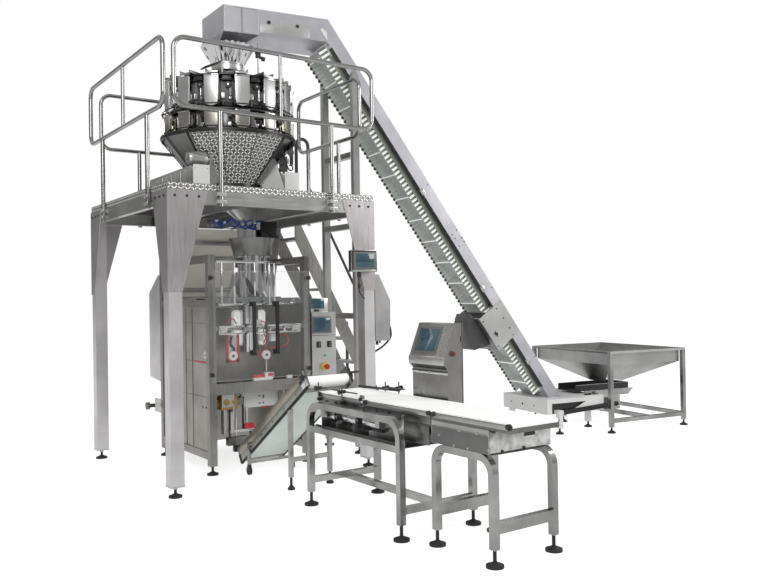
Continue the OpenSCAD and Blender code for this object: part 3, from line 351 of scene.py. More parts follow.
# %% Finishes on the frame
dress = {
    steel: "elevator_props air_cabinet jaw_drive",
    bright_steel: "platform_legs rear_cabinet",
    gusset_steel: "platform_gussets",
    tube_steel: "checkweigher_stand reject_stand takeoff_stand hopper_frame",
    shaded_steel: "bagger_frame console stair_stringers",
    pale_steel: "control_box weigher_base feeder_drive elevator_drive collecting_funnel",
    steel_across: "platform_beams film_arms reject_box hopper_bin",
    warm_steel: "bagger_panels",
    rail_steel: "front_railing left_railing back_railing right_railing belt_bar",
    plate: "platform_deck stair_treads",
    mirror: "upper_buckets infeed_funnel forming_tube forming_collar sealing_jaws",
    # The lower buckets take a slightly darker, warmer mirror than the upper ones: painted shade under the
    # upper row.
    warm_mirror: "lower_buckets",
    lilac: "elevator_casing elevator_head",
    dark_steel: "takeoff_conveyor checkweigher_bed discharge_cone",
    black_paint: "ring_plate weigher_drum door_hinges feeder_pan",
    dark_paint: "stair_handrails",
    rubber: "levelling_feet",
    plastic: "left_handle right_handle weigher_screen",
    clear_panel: "left_door right_door",
    white_belt: "checkweigher_belt takeoff_belt pull_belts",
    green_belt: "elevator_belt",
    wound_film: "film_roll",
    white_paint: "elevator_boot",
}
for material, names in dress.items():
    for name in names.split():
        for slot in nodes[name].material_slots:
            slot.material = material

# %% [markdown]
# Small parts are modelled from primitives. A few helpers keep that short. They take
# millimetres, because the machine's drawing does, and leave every object at the origin with
# its place in its mesh. Parts that belong together are joined, and one bevel rounds them all.

# %% Modelling helpers


def apply_place(finish):
    bpy.ops.object.transform_apply(location=True, rotation=True, scale=True)
    made = bpy.context.object
    made.data.materials.append(finish)
    return made


def select_only(parts):
    """Selects these objects and nothing else. The first one is active."""
    bpy.ops.object.select_all(action="DESELECT")
    for part in parts:
        part.select_set(True)
    bpy.context.view_layer.objects.active = parts[0]


def joined(parts):
    select_only(parts)
    bpy.ops.object.join()
    return bpy.context.object


def modified(made, kind, **values):
    """Gives the active object a modifier with these values, and applies it."""
    bpy.ops.object.modifier_add(type=kind)
    modifier = made.modifiers[-1]
    for name, value in values.items():
        setattr(modifier, name, value)
    bpy.ops.object.modifier_apply(modifier=modifier.name)
    return made


def in_a_row(made, offset, count):
    """The active object, repeated by an Array. The offset is in millimetres."""
    return modified(made, "ARRAY", use_relative_offset=False, use_constant_offset=True,
        constant_offset_displace=Vector(offset) * mm, count=count)


def block(low, high, finish):
    """A block between two corners."""
    low, high = Vector(low) * mm, Vector(high) * mm
    bpy.ops.mesh.primitive_cube_add(size=1, location=(low + high) / 2)
    bpy.context.object.scale = high - low
    return apply_place(finish)


def blocks(finish, *corners):
    """Blocks with one finish, each given as its six lowest and highest coordinates."""
    return [block(ends[:3], ends[3:], finish) for ends in corners]


def rod(start, end, radius, finish, sides=16, end_radius=None):
    """A round bar, or a cone where its end has another radius."""
    start, end = Vector(start) * mm, Vector(end) * mm
    turn = (end - start).to_track_quat("Z", "Y").to_euler()
    last = radius if end_radius is None else end_radius
    bpy.ops.mesh.primitive_cone_add(vertices=sides, radius1=radius * mm, radius2=last * mm,
        depth=(end - start).length, location=(start + end) / 2, rotation=turn)
    return apply_place(finish)


def stub(start, length, axis, radius, finish, sides=16):
    """A round bar along one axis, from its start and with its length, which may be negative."""
    end = Vector(start)
    end["XYZ".index(axis)] += length
    return rod(start, end, radius, finish, sides)


def pipe(points, radius, finish, sides=3, tight=False):
    """A tube through points, as one smooth curve turned into a mesh."""
    bpy.ops.curve.primitive_bezier_curve_add()
    curve = bpy.context.object
    curve.data.splines.clear()
    spline = curve.data.splines.new("BEZIER")
    spline.bezier_points.add(len(points) - 1)
    for knot, point in zip(spline.bezier_points, points):
        knot.co = Vector(point) * mm
        knot.handle_left_type = knot.handle_right_type = "VECTOR" if tight else "AUTO"
    curve.location = (0, 0, 0)
    curve.data.bevel_depth = radius * mm
    curve.data.bevel_resolution = sides
    curve.data.resolution_u = 1 if tight else 8
    curve.data.use_fill_caps = True
    bpy.ops.object.convert(target="MESH")
    return apply_place(finish)


def plate_of(outline, thickness, finish):
    """A flat plate in the XY plane with this outline, growing upwards from z = 0."""
    bpy.ops.mesh.primitive_circle_add(vertices=len(outline), fill_type="NGON")
    made = bpy.context.object
    for corner, point in zip(made.data.vertices, outline):
        corner.co = Vector((*point, 0)) * mm
    bpy.ops.object.mode_set(mode="EDIT")
    bpy.ops.mesh.select_all(action="SELECT")
    bpy.ops.mesh.extrude_region_move(TRANSFORM_OT_translate={"value": (0, 0, thickness * mm)})
    bpy.ops.mesh.select_all(action="SELECT")
    bpy.ops.mesh.normals_make_consistent(inside=False)
    bpy.ops.object.mode_set(mode="OBJECT")
    return apply_place(finish)


def ring(low, high, radius, wall, finish, sides=48, top=None):
    """An open tube or cone with a wall, standing upright on the origin's axis."""
    bpy.ops.mesh.primitive_cone_add(vertices=sides, radius1=radius * mm, radius2=(top or radius) * mm,
        depth=(high - low) * mm, end_fill_type="NOTHING", location=(0, 0, (low + high) / 2 * mm))
    return modified(apply_place(finish), "SOLIDIFY", thickness=wall * mm)


# A plate drawn with its first axis along X and its second up, facing the front or a side
FACING_FRONT = Matrix(((1, 0, 0, 0), (0, 0, -1, 0), (0, 1, 0, 0), (0, 0, 0, 1)))
FACING_LEFT = Matrix(((0, 0, -1, 0), (-1, 0, 0, 0), (0, 1, 0, 0), (0, 0, 0, 1)))
FACING_RIGHT = Matrix(((0, 0, 1, 0), (1, 0, 0, 0), (0, 1, 0, 0), (0, 0, 0, 1)))


def at(x, y, z, turn=None):
    """Matrix that puts something at a place, turned first if a turn is given."""
    place = Matrix.Translation(Vector((x, y, z)) * mm)
    return place @ turn if turn else place


def turned(angle, axis="Z"):
    return Matrix.Rotation(math.radians(angle), 4, axis)


def moved(parts, matrix):
    for part in parts:
        part.data.transform(matrix)
        if matrix.determinant() < 0:
            part.data.flip_normals()
    return parts


def copies(parts, matrices):
    """The parts once for each matrix, every copy with its own mesh."""
    made = []
    for matrix in matrices:
        for part in parts:
            twin = part.copy()
            twin.data = part.data.copy()
            bpy.context.collection.objects.link(twin)
            made += moved([twin], matrix)
    for part in parts:
        bpy.data.objects.remove(part)
    return made


def piece(name, parts, body="frame", edge=0.8, replaces=None):
    """Joins the parts, rounds their edges, and lets the piece ride on its body."""
    made = joined(parts)
    made.name = made.data.name = name
    if edge:
        modified(made, "BEVEL", width=edge * mm, segments=2, limit_method="ANGLE",
            angle_limit=math.radians(40))
    bpy.ops.object.shade_smooth_by_angle(angle=math.radians(40))
    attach(made, body)
    if replaces:
        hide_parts(replaces)
    print(name, len(made.data.polygons), "faces")
    return made


def span(name):
    """The two corners of a node of the frame, in millimetres."""
    low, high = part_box(name)
    return Vector(low) / mm, Vector(high) / mm


def bolt(place, facing, size=8, finish=black_paint):
    """A hexagon head on a washer. Facing is the direction that the head points in."""
    place, facing = Vector(place), Vector(facing)
    washer = rod(place, place + facing * 2, size * 1.25, finish)
    head = rod(place, place + facing * size * 0.8, size, finish, sides=6)
    return [washer, head]


def bolts(places, facing, size=8, finish=black_paint):
    return [part for place in places for part in bolt(place, facing, size, finish)]


# %% [markdown]
# Checker plate is flat sheet with rows of raised lozenges that lean left and right in turn.
# One lozenge is a six-sided disc, stretched and raised with a smaller top. Four of them make
# a cell, an Array repeats the cell, and bisect trims the field to the plate. A bump in the
# finish would be cheaper, but the rows catch the light along every edge, so they are real.

# %% Raised lozenges
lozenge_long = 1.15
lozenge_wide = 0.42
lozenge_rise = 1.5
lozenge_top = 0.6


def lozenge(x, y, length, width, angle):
    bpy.ops.mesh.primitive_circle_add(vertices=6, radius=0.5, fill_type="NGON")
    made = bpy.context.object
    made.scale = (length * mm, width * mm, 1)
    made.rotation_euler.z = math.radians(angle)
    made.location = (x * mm, y * mm, 0)
    bpy.ops.object.transform_apply(location=True, rotation=True, scale=True)
    bpy.ops.object.mode_set(mode="EDIT")
    bpy.ops.mesh.select_all(action="SELECT")
    bpy.ops.mesh.extrude_region_move(TRANSFORM_OT_translate={"value": (0, 0, lozenge_rise * mm)})
    bpy.ops.transform.resize(value=(lozenge_top, lozenge_top, 1), center_override=(x * mm, y * mm, 0))
    bpy.ops.object.mode_set(mode="OBJECT")
    return made


def cut_off(made, point, outward):
    """Takes away what lies beyond a plane."""
    select_only([made])
    bpy.ops.object.mode_set(mode="EDIT")
    bpy.ops.mesh.select_all(action="SELECT")
    bpy.ops.mesh.bisect(plane_co=Vector(point) * mm, plane_no=outward, clear_outer=True)
    bpy.ops.object.mode_set(mode="OBJECT")


def lozenge_field(width, depth, pitch, matrix, finish, trims=()):
    """Rows of lozenges over width by depth in the XY plane, trimmed and then moved by a matrix."""
    lozenges = []
    for column in (0, 1):
        for row in (0, 1):
            lean = 45 if column == row else -45
            middle = ((column + 0.5) * pitch, (row + 0.5) * pitch)
            lozenges.append(lozenge(*middle, pitch * lozenge_long, pitch * lozenge_wide, lean))
    field = joined(lozenges)
    cell = 2 * pitch
    in_a_row(field, (cell, 0, 0), max(1, round(width / cell + 0.499)))
    in_a_row(field, (0, cell, 0), max(1, round(depth / cell + 0.499)))
    cut_off(field, (width, 0, 0), (1, 0, 0))
    cut_off(field, (0, depth, 0), (0, 1, 0))
    for point, outward in trims:
        cut_off(field, point, outward)
    field.data.transform(matrix)
    field.data.materials.append(finish)
    return field


# %% [markdown]
# ## Platform
# The deck is checker plate, folded down at its edges. The weigher stands over a square hole,
# so the field of lozenges is laid in four strips round it, and two rows run along each edge.

# %% Deck
deck_low, deck_high = span("platform_deck")
axis_x, axis_y = 865, 920
hole = 310
deck_z = deck_high.z
pitch = 36
deck_w = deck_high.x - deck_low.x
deck_d = deck_high.y - deck_low.y
# The lozenges take the lighter raised finish over the darker sheet: painted highlight on the lozenges,
# painted shade between them.
strips = []
for x, y, width, depth in (
        (deck_low.x, deck_low.y, axis_x - hole - deck_low.x, deck_d),
        (axis_x + hole, deck_low.y, deck_high.x - axis_x - hole, deck_d),
        (axis_x - hole, deck_low.y, 2 * hole, axis_y - hole - deck_low.y),
        (axis_x - hole, axis_y + hole, 2 * hole, deck_high.y - axis_y - hole)):
    strips.append(lozenge_field(width, depth, pitch, at(x, y, deck_z), raised))
piece("deck_lozenges", strips, edge=0)

edge_h = 50
edge_pitch = edge_h / 2
edges = []
for x, y, width, turn in (
        (deck_low.x, deck_low.y, deck_w, FACING_FRONT), (deck_low.x, deck_high.y, deck_d, FACING_LEFT),
        (deck_high.x, deck_high.y, deck_w, turned(180) @ FACING_FRONT),
        (deck_high.x, deck_low.y, deck_d, FACING_RIGHT)):
    edges.append(lozenge_field(width, edge_h, edge_pitch, at(x, y, deck_z - edge_h, turn), raised))
piece("deck_edge_lozenges", edges, edge=0)

treads_low, treads_high = span("stair_treads")
steps = 8
stair_head = 1706
stair_slope = math.radians(62)
tread_w = 126
tread_fields = []
for step in range(1, steps + 1):
    z = deck_z * step / (steps + 1)
    x = stair_head + (deck_z - z) / math.tan(stair_slope)
    place = at(x - tread_w - 2, treads_low.y, z)
    tread_fields.append(lozenge_field(tread_w, treads_high.y - treads_low.y, pitch, place, raised))
piece("tread_lozenges", tread_fields, edge=0)

# %% [markdown]
# Each leg has a tapered plate on its two outer faces, held by three dark bolts near the top.
# The railings are clamped to the beams, and every clamp has a nut at each side of its post.
# Screws this small are a washer and a six-sided head, because only their outline shows.

# %% Platform bolts
legs_low, legs_high = span("platform_legs")
gusset_out = 6
bolt_z = deck_z - 95
leg_bolts = []
for x, inward in ((legs_low.x, 1), (legs_high.x, -1)):
    for y, onward in ((legs_low.y, 1), (legs_high.y, -1)):
        for step in (52, 142, 232):
            leg_bolts += bolt((x + inward * step, y - onward * gusset_out, bolt_z), (0, -onward, 0))
            leg_bolts += bolt((x - inward * gusset_out, y + onward * step, bolt_z), (-inward, 0, 0))
piece("platform_bolts", leg_bolts, edge=0)

clamps = []
rail_r = 17
for name, along, out, near_in, far_in in (
        ("front_railing", (1, 0, 0), (0, -1, 0), 345, 395), ("back_railing", (1, 0, 0), (0, 1, 0), 345, 345),
        ("left_railing", (0, 1, 0), (-1, 0, 0), 345, 345), ("right_railing", (0, 1, 0), (1, 0, 0), 345, 172)):
    low, high = span(name)
    along, out = Vector(along), Vector(out)
    face = out * max(low.dot(out), high.dot(out))
    half = Vector([abs(reach) for reach in along * 34 + out * 3 + Vector((0, 0, 12))])
    for end in (low.dot(along) + rail_r + near_in, high.dot(along) - rail_r - far_in):
        for z in (2103, 2157):
            middle = along * end + face + Vector((0, 0, z))
            clamps.append(block(middle - half, middle + half, pale_steel))
            clamps += bolts([middle + out * 3 + along * side for side in (-24, 24)], out, 5, steel)
piece("railing_clamps", clamps, edge=0.5)

# The feet's caps close the square tubes, and a locknut sits under each
caps = []
leg_half = 50
cap_half = leg_half + 2
for x in (legs_low.x + leg_half, legs_high.x - leg_half):
    for y in (legs_low.y + leg_half, legs_high.y - leg_half):
        caps.append(block((x - cap_half, y - cap_half, 76), (x + cap_half, y + cap_half, 84), pale_steel))
        caps.append(stub((x, y, 58), 18, "Z", 17, steel, 6))
piece("leg_caps", caps, edge=0.8)

# %% [markdown]
# ## Weigher
# Fourteen heads stand in a ring. Each has an upper and a lower bucket with a flap in front,
# and black arms, springs and housings fill the gaps between them. One head is modelled at
# the ring's right-hand side and then copied round, each copy turned about the axis.

# %% Buckets and arms
heads = 14
bucket_face = 550
weigher = at(axis_x, axis_y, 0)
round_ring = [weigher @ turned(i * 360 / heads) for i in range(heads)]
in_the_gaps = [weigher @ turned((i + 0.5) * 360 / heads) for i in range(heads)]
ring_low = span("ring_plate")[0]
upper_low, upper_high = span("upper_buckets")
lower_low, lower_high = span("lower_buckets")


def flap(low, high, finish):
    """Front flap of a bucket, with a lip along its head and a hinge rod across its foot."""
    outline = [(-50, low + 6), (0, low - 8), (50, low + 6), (58, high - 4), (-58, high - 4)]
    sheet = plate_of(outline, 5, finish)
    moved([sheet], at(bucket_face, 0, 0, FACING_RIGHT))
    lip = block((bucket_face + 2, -58, high - 4), (bucket_face + 12, 58, high + 4), mirror)
    hinge = rod((bucket_face + 5, -66, low + 12), (bucket_face + 5, 66, low + 12), 6, black_paint)
    return [sheet, lip, hinge]


def arms(low, high):
    """Black links on both sides of a bucket."""
    made = []
    for side in (-1, 1):
        y = side * 65
        made.append(rod((430, y, low + 60), (bucket_face + 4, y, low + 14), 6, black_paint, 8))
        made.append(rod((480, y - 4, low + 60), (480, y + 4, low + 60), 18, black_paint))
        made.append(block((428, y - 3, low + 50), (505, y + 3, low + 84), black_paint))
    return made


# The lower flaps take the darker warm steel: painted shade under the upper row.
flaps = flap(upper_low.z, upper_high.z, pale_steel) + flap(lower_low.z, lower_high.z, warm_steel)
piece("bucket_flaps", copies(flaps, round_ring), edge=0.8)
links = arms(upper_low.z, upper_high.z) + arms(lower_low.z, lower_high.z)
piece("bucket_arms", copies(links, round_ring), edge=0)

# %% [markdown]
# In every gap sits a black housing with its motor cap, two return springs and a small bright
# bracket. A spring could be made with the Screw modifier, but a helix of points that a curve
# follows lets its height and turns be given.

# %% Housings between the buckets
upper_z, upper_top = upper_low.z, upper_high.z
lower_z, lower_top = lower_low.z, lower_high.z


def spring(centre, radius, height, turns, wire_r, finish):
    """A helix of eight points to the turn, which stands on its centre."""
    steps = turns * 8
    points = []
    for i in range(steps + 1):
        angle = math.tau * i / 8
        points.append((centre[0] + radius * math.cos(angle), centre[1] + radius * math.sin(angle),
            centre[2] + height * i / steps))
    return pipe(points, wire_r, finish, sides=0, tight=True)


hood = [plate_of([(-44, 0), (44, 0), (30, 34), (-30, 34)], 40, black_paint)]
housing = moved(hood, at(490, 0, upper_top - 34, FACING_RIGHT))
housing += blocks(black_paint, (330, -44, upper_z + 6, 486, 44, upper_top - 12),
    (330, -44, lower_z + 4, 488, 44, lower_top + 12))
housing += blocks(dark_paint, (486, -50, upper_z + 30, 494, 50, upper_top - 40))
housing += blocks(dark_steel, (488, -30, lower_z + 20, 500, 10, lower_top - 20))
housing += blocks(steel, (494, -44, upper_z + 60, 514, -14, upper_z + 104))
housing += blocks(mirror, (488, 8, lower_z + 22, 506, 34, lower_z + 50))
housing += [
    stub((494, 12, upper_top - 70), 26, "X", 26, black_paint),
    stub((520, 12, upper_top - 70), 6, "X", 8, mirror),
    stub((494, 26, upper_z + 60), 36, "X", 12, steel),
    stub((530, 26, upper_z + 60), 80, "Z", 5, mirror, 8),
    stub((488, 26, lower_top - 40), 32, "X", 15, black_paint),
    spring((512, 36, upper_z + 84), 7, 80, 7, 1.8, steel),
    spring((512, -30, upper_z + 4), 6, 44, 5, 1.6, steel),
]
piece("head_housings", copies(housing, in_the_gaps), edge=0.8)
shelf = [ring(z, z + thick, radius, 60, black_paint, 72)
    for z, thick, radius in ((upper_z - 24, 12, 520), (lower_z - 4, 4, 540))]
piece("bucket_shelf", moved(shelf, weigher), edge=0)

# %% [markdown]
# The infeed funnel is a pleated sheet. A cone with many sides is the start: every second
# point of its mouth is pulled in, so the wall folds into flutes, and Solidify gives it a wall.

# %% Fluted funnel
neck_r = 135
mouth_r = 235
cone_h = 160
cone_z = span("infeed_funnel")[1].z - cone_h
cone_middle = (cone_z + cone_h / 2) * mm
flutes = 26

bpy.ops.mesh.primitive_cone_add(vertices=2 * flutes, radius1=neck_r * mm, radius2=mouth_r * mm,
    depth=cone_h * mm, end_fill_type="NOTHING", location=(0, 0, cone_middle))
bpy.ops.object.transform_apply(location=True)
funnel = bpy.context.object
for corner in funnel.data.vertices:
    step = round(math.atan2(corner.co.y, corner.co.x) / (math.pi / flutes))
    if step % 2 == 0:
        pull = 0.84 if corner.co.z > cone_middle else 0.95
        corner.co.x *= pull
        corner.co.y *= pull
modified(funnel, "SOLIDIFY", thickness=3 * mm)
funnel.data.materials.append(mirror)

tray_z = 3222
leg_foot = tray_z + 61
funnel_parts = [funnel]
for low, high, out, wall, material in (
        (-50, 4, 0, 3, pale_steel), (-6, 6, 6, 6, steel), (-58, -44, 8, 8, steel)):
    funnel_parts.append(ring(cone_z + low, cone_z + high, neck_r + out, wall, material))
for turn in range(45, 360, 90):
    foot = rod((neck_r + 6, 0, leg_foot), (neck_r + 6, 0, cone_z + 10), 8, steel)
    funnel_parts += moved([foot], turned(turn))
piece("fluted_funnel", moved(funnel_parts, weigher), edge=0, replaces="infeed_funnel")

# %% [markdown]
# Product falls on the flat cone in the middle and creeps outwards along fourteen small
# trays. A tray is a floor with two walls and a turned-down nose. One is built at the right-hand
# side and copied round, as the buckets were.

# %% Feed trays
tray_in = 405
tray_out = 540
tray = blocks(pale_steel, (tray_in, -48, tray_z + 2, tray_out, 48, tray_z + 5),
    (tray_out - 3, -50, tray_z - 12, tray_out, 50, tray_z + 5))
tray += blocks(dark_steel, (tray_in, -50, tray_z + 2, tray_out, -47, tray_z + 26),
    (tray_in, 47, tray_z + 2, tray_out, 50, tray_z + 26))
tray += blocks(black_paint, (430, -30, tray_z - 1, 480, 30, tray_z + 2))
piece("feed_trays", copies(tray, round_ring), edge=0.6)

# %% [markdown]
# The discharge cone has twelve flat panels. Three at the front and three at the back carry
# small checker plate. A panel's own frame has X along its foot, Y up its slope and Z outwards,
# so the same field of lozenges as on the deck is laid flat, trimmed, and tilted into place.

# %% Cone panels
cone_low, cone_high = span("discharge_cone")
cone_top_r = 560
cone_foot_r = 240
half = math.radians(15)
run = (cone_top_r - cone_foot_r) * math.cos(half)
rise = cone_high.z - cone_low.z
slant = math.hypot(run, rise)
panel_frame = Matrix(((0, run / slant, rise / slant, cone_foot_r * math.cos(half) * mm), (1, 0, 0, 0),
    (0, rise / slant, -run / slant, cone_low.z * mm), (0, 0, 0, 1)))
top_half = cone_top_r * math.sin(half)
foot_half = cone_foot_r * math.sin(half)
taper = Vector((slant, foot_half - top_half, 0)).normalized()
inset = 3
foot_left = top_half - foot_half + inset
foot_right = top_half + foot_half - inset
trims = [((foot_right, 0, 0), taper), ((foot_left, 0, 0), Vector((-taper.x, taper.y, 0)))]
sheet_top = slant - 4
sheet_outline = [(foot_left, inset), (foot_right, inset), (2 * top_half - inset, sheet_top),
    (inset, sheet_top)]
panels = []
# The cone's lozenges take the bright, glowing finish and the sheet under them the dark one: painted highlight
# on the lozenges, painted shade between them.
for facing in (45, 75, 105, 225, 255, 285):
    place = weigher @ turned(facing) @ panel_frame @ at(-top_half, 0, 0.3)
    panels.append(lozenge_field(2 * top_half, slant - 10, 28, place @ at(0, 0, 2), bright_raised, trims))
    panels += moved([plate_of(sheet_outline, 2, plate)], place)
piece("cone_panels", panels, edge=0)

# Straps run down the seams, the wide ones with bright rims, and rings close head and foot
ribs = []
foot = Vector((cone_foot_r + 6, 0, cone_low.z - 2))
head = Vector((cone_top_r + 6, 0, cone_high.z - 4))
for seam, wide in ((210, 17), (300, 10), (30, 10), (120, 17), (180, 5), (150, 5), (330, 5), (0, 5)):
    rib = [rod(foot, head, wide, black_paint, 4)]
    if wide > 10:
        for side in (-wide, wide):
            rim = Vector((6, side, 0))
            rib.append(rod(foot + rim, head + rim, 3, steel, 8))
    ribs += moved(rib, weigher @ turned(seam))
rims = [ring(cone_high.z - 16, cone_high.z - 2, cone_top_r + 8, 6, black_paint, 72),
    ring(cone_low.z - 20, cone_low.z + 6, cone_foot_r + 8, 6, black_paint)]
piece("cone_ribs", ribs + moved(rims, weigher), edge=0)

# %% [markdown]
# Two long boxes carry the weigher. Their front ends are bright caps, and the right one holds a
# bent wire hook. A round motor sits on the left one, a bracket with switches hangs on the
# cone's right side, and a sensor rod with a knob stands beside the funnel.

# %% Weigher fittings
base_low, base_high = span("weigher_base")
base_off = 410
base_half = 67
base_top = deck_z + 240
fittings = []
for x in (axis_x - base_off, axis_x + base_off):
    for y, out in ((base_low.y, -1), (base_high.y, 1)):
        cap_low = (x - base_half - 2, y - 3, deck_z)
        fittings.append(block(cap_low, (x + base_half + 2, y + 3, base_top + 2), white_paint))
        corners = [(x + side, y + 3 * out, deck_z + up) for side in (-52, 52) for up in (30, 215)]
        fittings += bolts(corners, (0, out, 0), 4, steel)
panel_x = axis_x - base_off - base_half
for step in range(4):
    y = base_low.y + 60 + step * 210
    fittings.append(block((panel_x - 3, y, deck_z + 40), (panel_x, y + 180, base_top - 20), steel))
motor = [
    stub((0, 0, 62), 120, "X", 60, steel, 32),
    rod((-30, 0, 62), (0, 0, 62), 48, steel, 32, end_radius=60),
    stub((120, 0, 62), 30, "X", 22, mirror),
    block((20, -40, 0), (110, 40, 20), dark_steel),
]
fittings += moved(motor, at(axis_x - base_off - 50, base_low.y + 90, base_top))
hook_x = axis_x + base_off - 20
hook_y = base_low.y + 24
hook = [(hook_x - 60, hook_y, base_top + 190), (hook_x - 12, hook_y, base_top + 60)]
for angle in range(200, 500, 40):
    turn = math.radians(angle)
    hook.append((hook_x + 20 + 22 * math.cos(turn), hook_y, base_top + 44 + 22 * math.sin(turn)))
fittings.append(pipe(hook, 6, black_paint))
piece("weigher_fittings", fittings, edge=1)

bracket = blocks(black_paint, (520, -60, 2560, 550, 60, ring_low.z - 4), (380, -42, 2420, 440, 42, 2520))
bracket += blocks(dark_paint, (430, -50, 2500, 500, 50, 2620))
bracket += [stub((530, -60, 2650), -24, "Y", 30, dark_paint),
    stub((450, -50, 2560), -24, "Y", 22, black_paint), stub((500, -30, 2560), 40, "Z", 12, mirror)]
piece("cone_bracket", moved(bracket, weigher @ turned(330)), edge=1.5)

sensor = [
    stub((0, 0, 0), 300, "Z", 7, steel),
    stub((0, 0, 178), 26, "Z", 22, black_paint),
    stub((-24, 0, 214), 44, "X", 12, black_paint),
    rod((-20, 0, 190), (50, 0, 176), 12, black_paint),
    rod((44, 0, 160), (50, 0, 186), 17, black_paint),
    block((-30, -30, 0), (30, 30, 8), steel),
]
moved(sensor, at(axis_x + 90, axis_y - 400, tray_z))
shield = plate_of([(0, 0), (150, 74), (150, 84), (0, 14)], 90, black_paint)
moved([shield], at(axis_x - 330, axis_y - 190, tray_z + 60, FACING_FRONT))
piece("level_sensor", sensor + [shield], edge=1)

# %% [markdown]
# ## Elevator
# The elevator and its hopper stand in a line that is turned a little from the front, and the
# slope lies in that line. Parts are built straight and two matrices put them in place. The belt
# has corrugated side walls. Seen from below, each wall is a row of light and dark waves, so
# the waves are real: one wave is drawn as a thin outline and an Array repeats it. The light and
# dark are also painted on: the near wall's half waves alternate a glowing white finish as
# painted light and a grey-green one as painted shade, and the far wall's low rim has dark half
# waves as painted shade.

# %% Belt with corrugated walls
line_frame = at(axis_x, axis_y, 0) @ turned(-9)
slope_frame = line_frame @ at(850, 0, 3865) @ turned(54.5, "Y")
belt_start, belt_end = 172, 4150
belt_under = -123
belt_half = 165
cleat_half = 140
sheet_low = belt_under - 10
wall_side = 153
wall_thick = 4
wall_low = sheet_low - 90
wave_pitch = 44


def wavy_wall(length, pitch, swing, thickness, height, finishes):
    """A wall that snakes along X and stands on z = 0. Each half wave has a finish of its own, so a lighter
    and a darker finish can paint light and shade on the waves.
    """
    steps = 8
    cell = []
    for half, finish in enumerate(finishes):
        turns = [math.tau * (i + half * steps / 2) / steps for i in range(steps // 2 + 1)]
        middle = [(pitch * turn / math.tau, swing * math.sin(turn)) for turn in turns]
        near = [(x, y - thickness / 2) for x, y in middle]
        far = [(x, y + thickness / 2) for x, y in reversed(middle)]
        cell.append(plate_of(near + far, height, finish))
    return in_a_row(joined(cell), (pitch, 0, 0), int(length / pitch))


belt = []
# Painted light and shade on the walls: on the near wall the white half waves are painted light and the
# green-grey ones painted shade; on the far wall's low rim the dark half waves are painted shade, which draws
# its teeth.
for side, base, height, swing, finishes in (
        (-wall_side, 0, 90, 9, (green_steel, white_belt)), (wall_side, 26, 64, 9, (grey_belt, grey_belt)),
        (wall_side, 0, 26, 11, (dark_paint, grey_belt))):
    wall = wavy_wall(belt_end - belt_start, wave_pitch, swing, wall_thick, height, finishes)
    belt += moved([wall], at(belt_start, side, wall_low + base))
belt += blocks(grey_belt, (belt_start, -belt_half, sheet_low, belt_end, belt_half, belt_under - 0.5))
# A strip of the glowing white finish on each cleat's lower edge is a painted highlight along the cleat.
for s in range(belt_start + 60, belt_end - 60, 250):
    belt += blocks(grey_belt, (s, -cleat_half, wall_low + 16, s + 7, cleat_half, sheet_low))
    belt += blocks(white_belt, (s - 1, -cleat_half, wall_low + 9, s + 8, cleat_half, wall_low + 16))
piece("corrugated_belt", moved(belt, slope_frame), edge=0, replaces="elevator_belt")

# %% [markdown]
# A guide flange hangs on each side of the belt under a black slot. The side plate is joined in
# three places with small plates of four screws, and a few more screws sit near its upper edge.
# The casing is the same on both sides, so a helper lays every strip twice.

# %% Flanges, slots and joint plates
casing_face = -225
flanges = []
slots = []


def on_both_sides(near, far, start, end, low, high, finish):
    """A strip along X, and the same strip on the other side of the line."""
    return blocks(finish, (start, -far, low, end, -near, high), (start, near, low, end, far, high))


for start, end in ((280, 3090), (3478, 4100)):
    flanges += on_both_sides(170, 175, start, end, belt_under - 46, belt_under, green_steel)
    slots += on_both_sides(176, 224, start - 60, end, belt_under - 3, belt_under, black_paint)
    slots += on_both_sides(225, 226, start - 60, end, belt_under, belt_under + 9, black_paint)
for s in (1757, 2882, 3780):
    flanges += blocks(pale_steel, (s - 30, casing_face - 3, -128, s + 30, casing_face, -86))
    corners = [(s + ds, casing_face - 3, t) for t in (-96, -118) for ds in (-20, 20)]
    flanges += bolts(corners, (0, -1, 0), 4, dark_steel)
screws = ((1735, -21), (2255, -14), (2262, -81), (2310, -75), (2348, -10), (2392, -10), (2394, -83),
    (2933, -16), (3793, -12))
slots += bolts([(s, casing_face, t) for s, t in screws], (0, -1, 0), 5)
piece("belt_flanges", moved(flanges, slope_frame), edge=0.5)
piece("belt_slots", moved(slots, slope_frame), edge=0)

# %% [markdown]
# The level run carries a stepped cover plate with two latches, and a small white plate covers
# the bend below it. Both are outlines given a thickness, which keeps their corners sharp. The
# head box is edged with folded seams.

# %% Level run and head box
cover_outline = ((222, 3739), (394, 3745), (399, 3801), (673, 3785), (674, 3672), (220, 3668))
cover = moved([plate_of(cover_outline, 3, pale_steel)], line_frame @ at(0, casing_face, 0) @ FACING_FRONT)
bend_outline = ((34, -96), (93, -80), (150, -120), (93, -123), (40, -122))
cover += moved([plate_of(bend_outline, 4, white_paint)], slope_frame @ at(0, casing_face, 0) @ FACING_FRONT)
latches = []
for u in (300, 560):
    latches.append(block((u - 14, -232, 3752), (u + 14, -228, 3776), black_paint))
    latches.append(stub((u - 9, -234, 3757), 14, "Z", 4, black_paint))
seams = blocks(dark_steel, (60, -228, 3646, 67, -225, 3860))
seams += blocks(pale_steel, (-84, -228, 3646, -76, -225, 3860), (208, -229, 3646, 216, -225, 3862),
    (-76, -228, 3854, 214, -225, 3861), (-76, -228, 3646, 214, -225, 3653))
piece("head_cover_plate", cover + moved(latches + seams, line_frame), edge=0.5)

# %% [markdown]
# The drive sits in a housing of two side plates round the lower slope. Its hood is dark, and
# the plate shows a row of bolts, a tension knob in a slot, and bright folded rims.

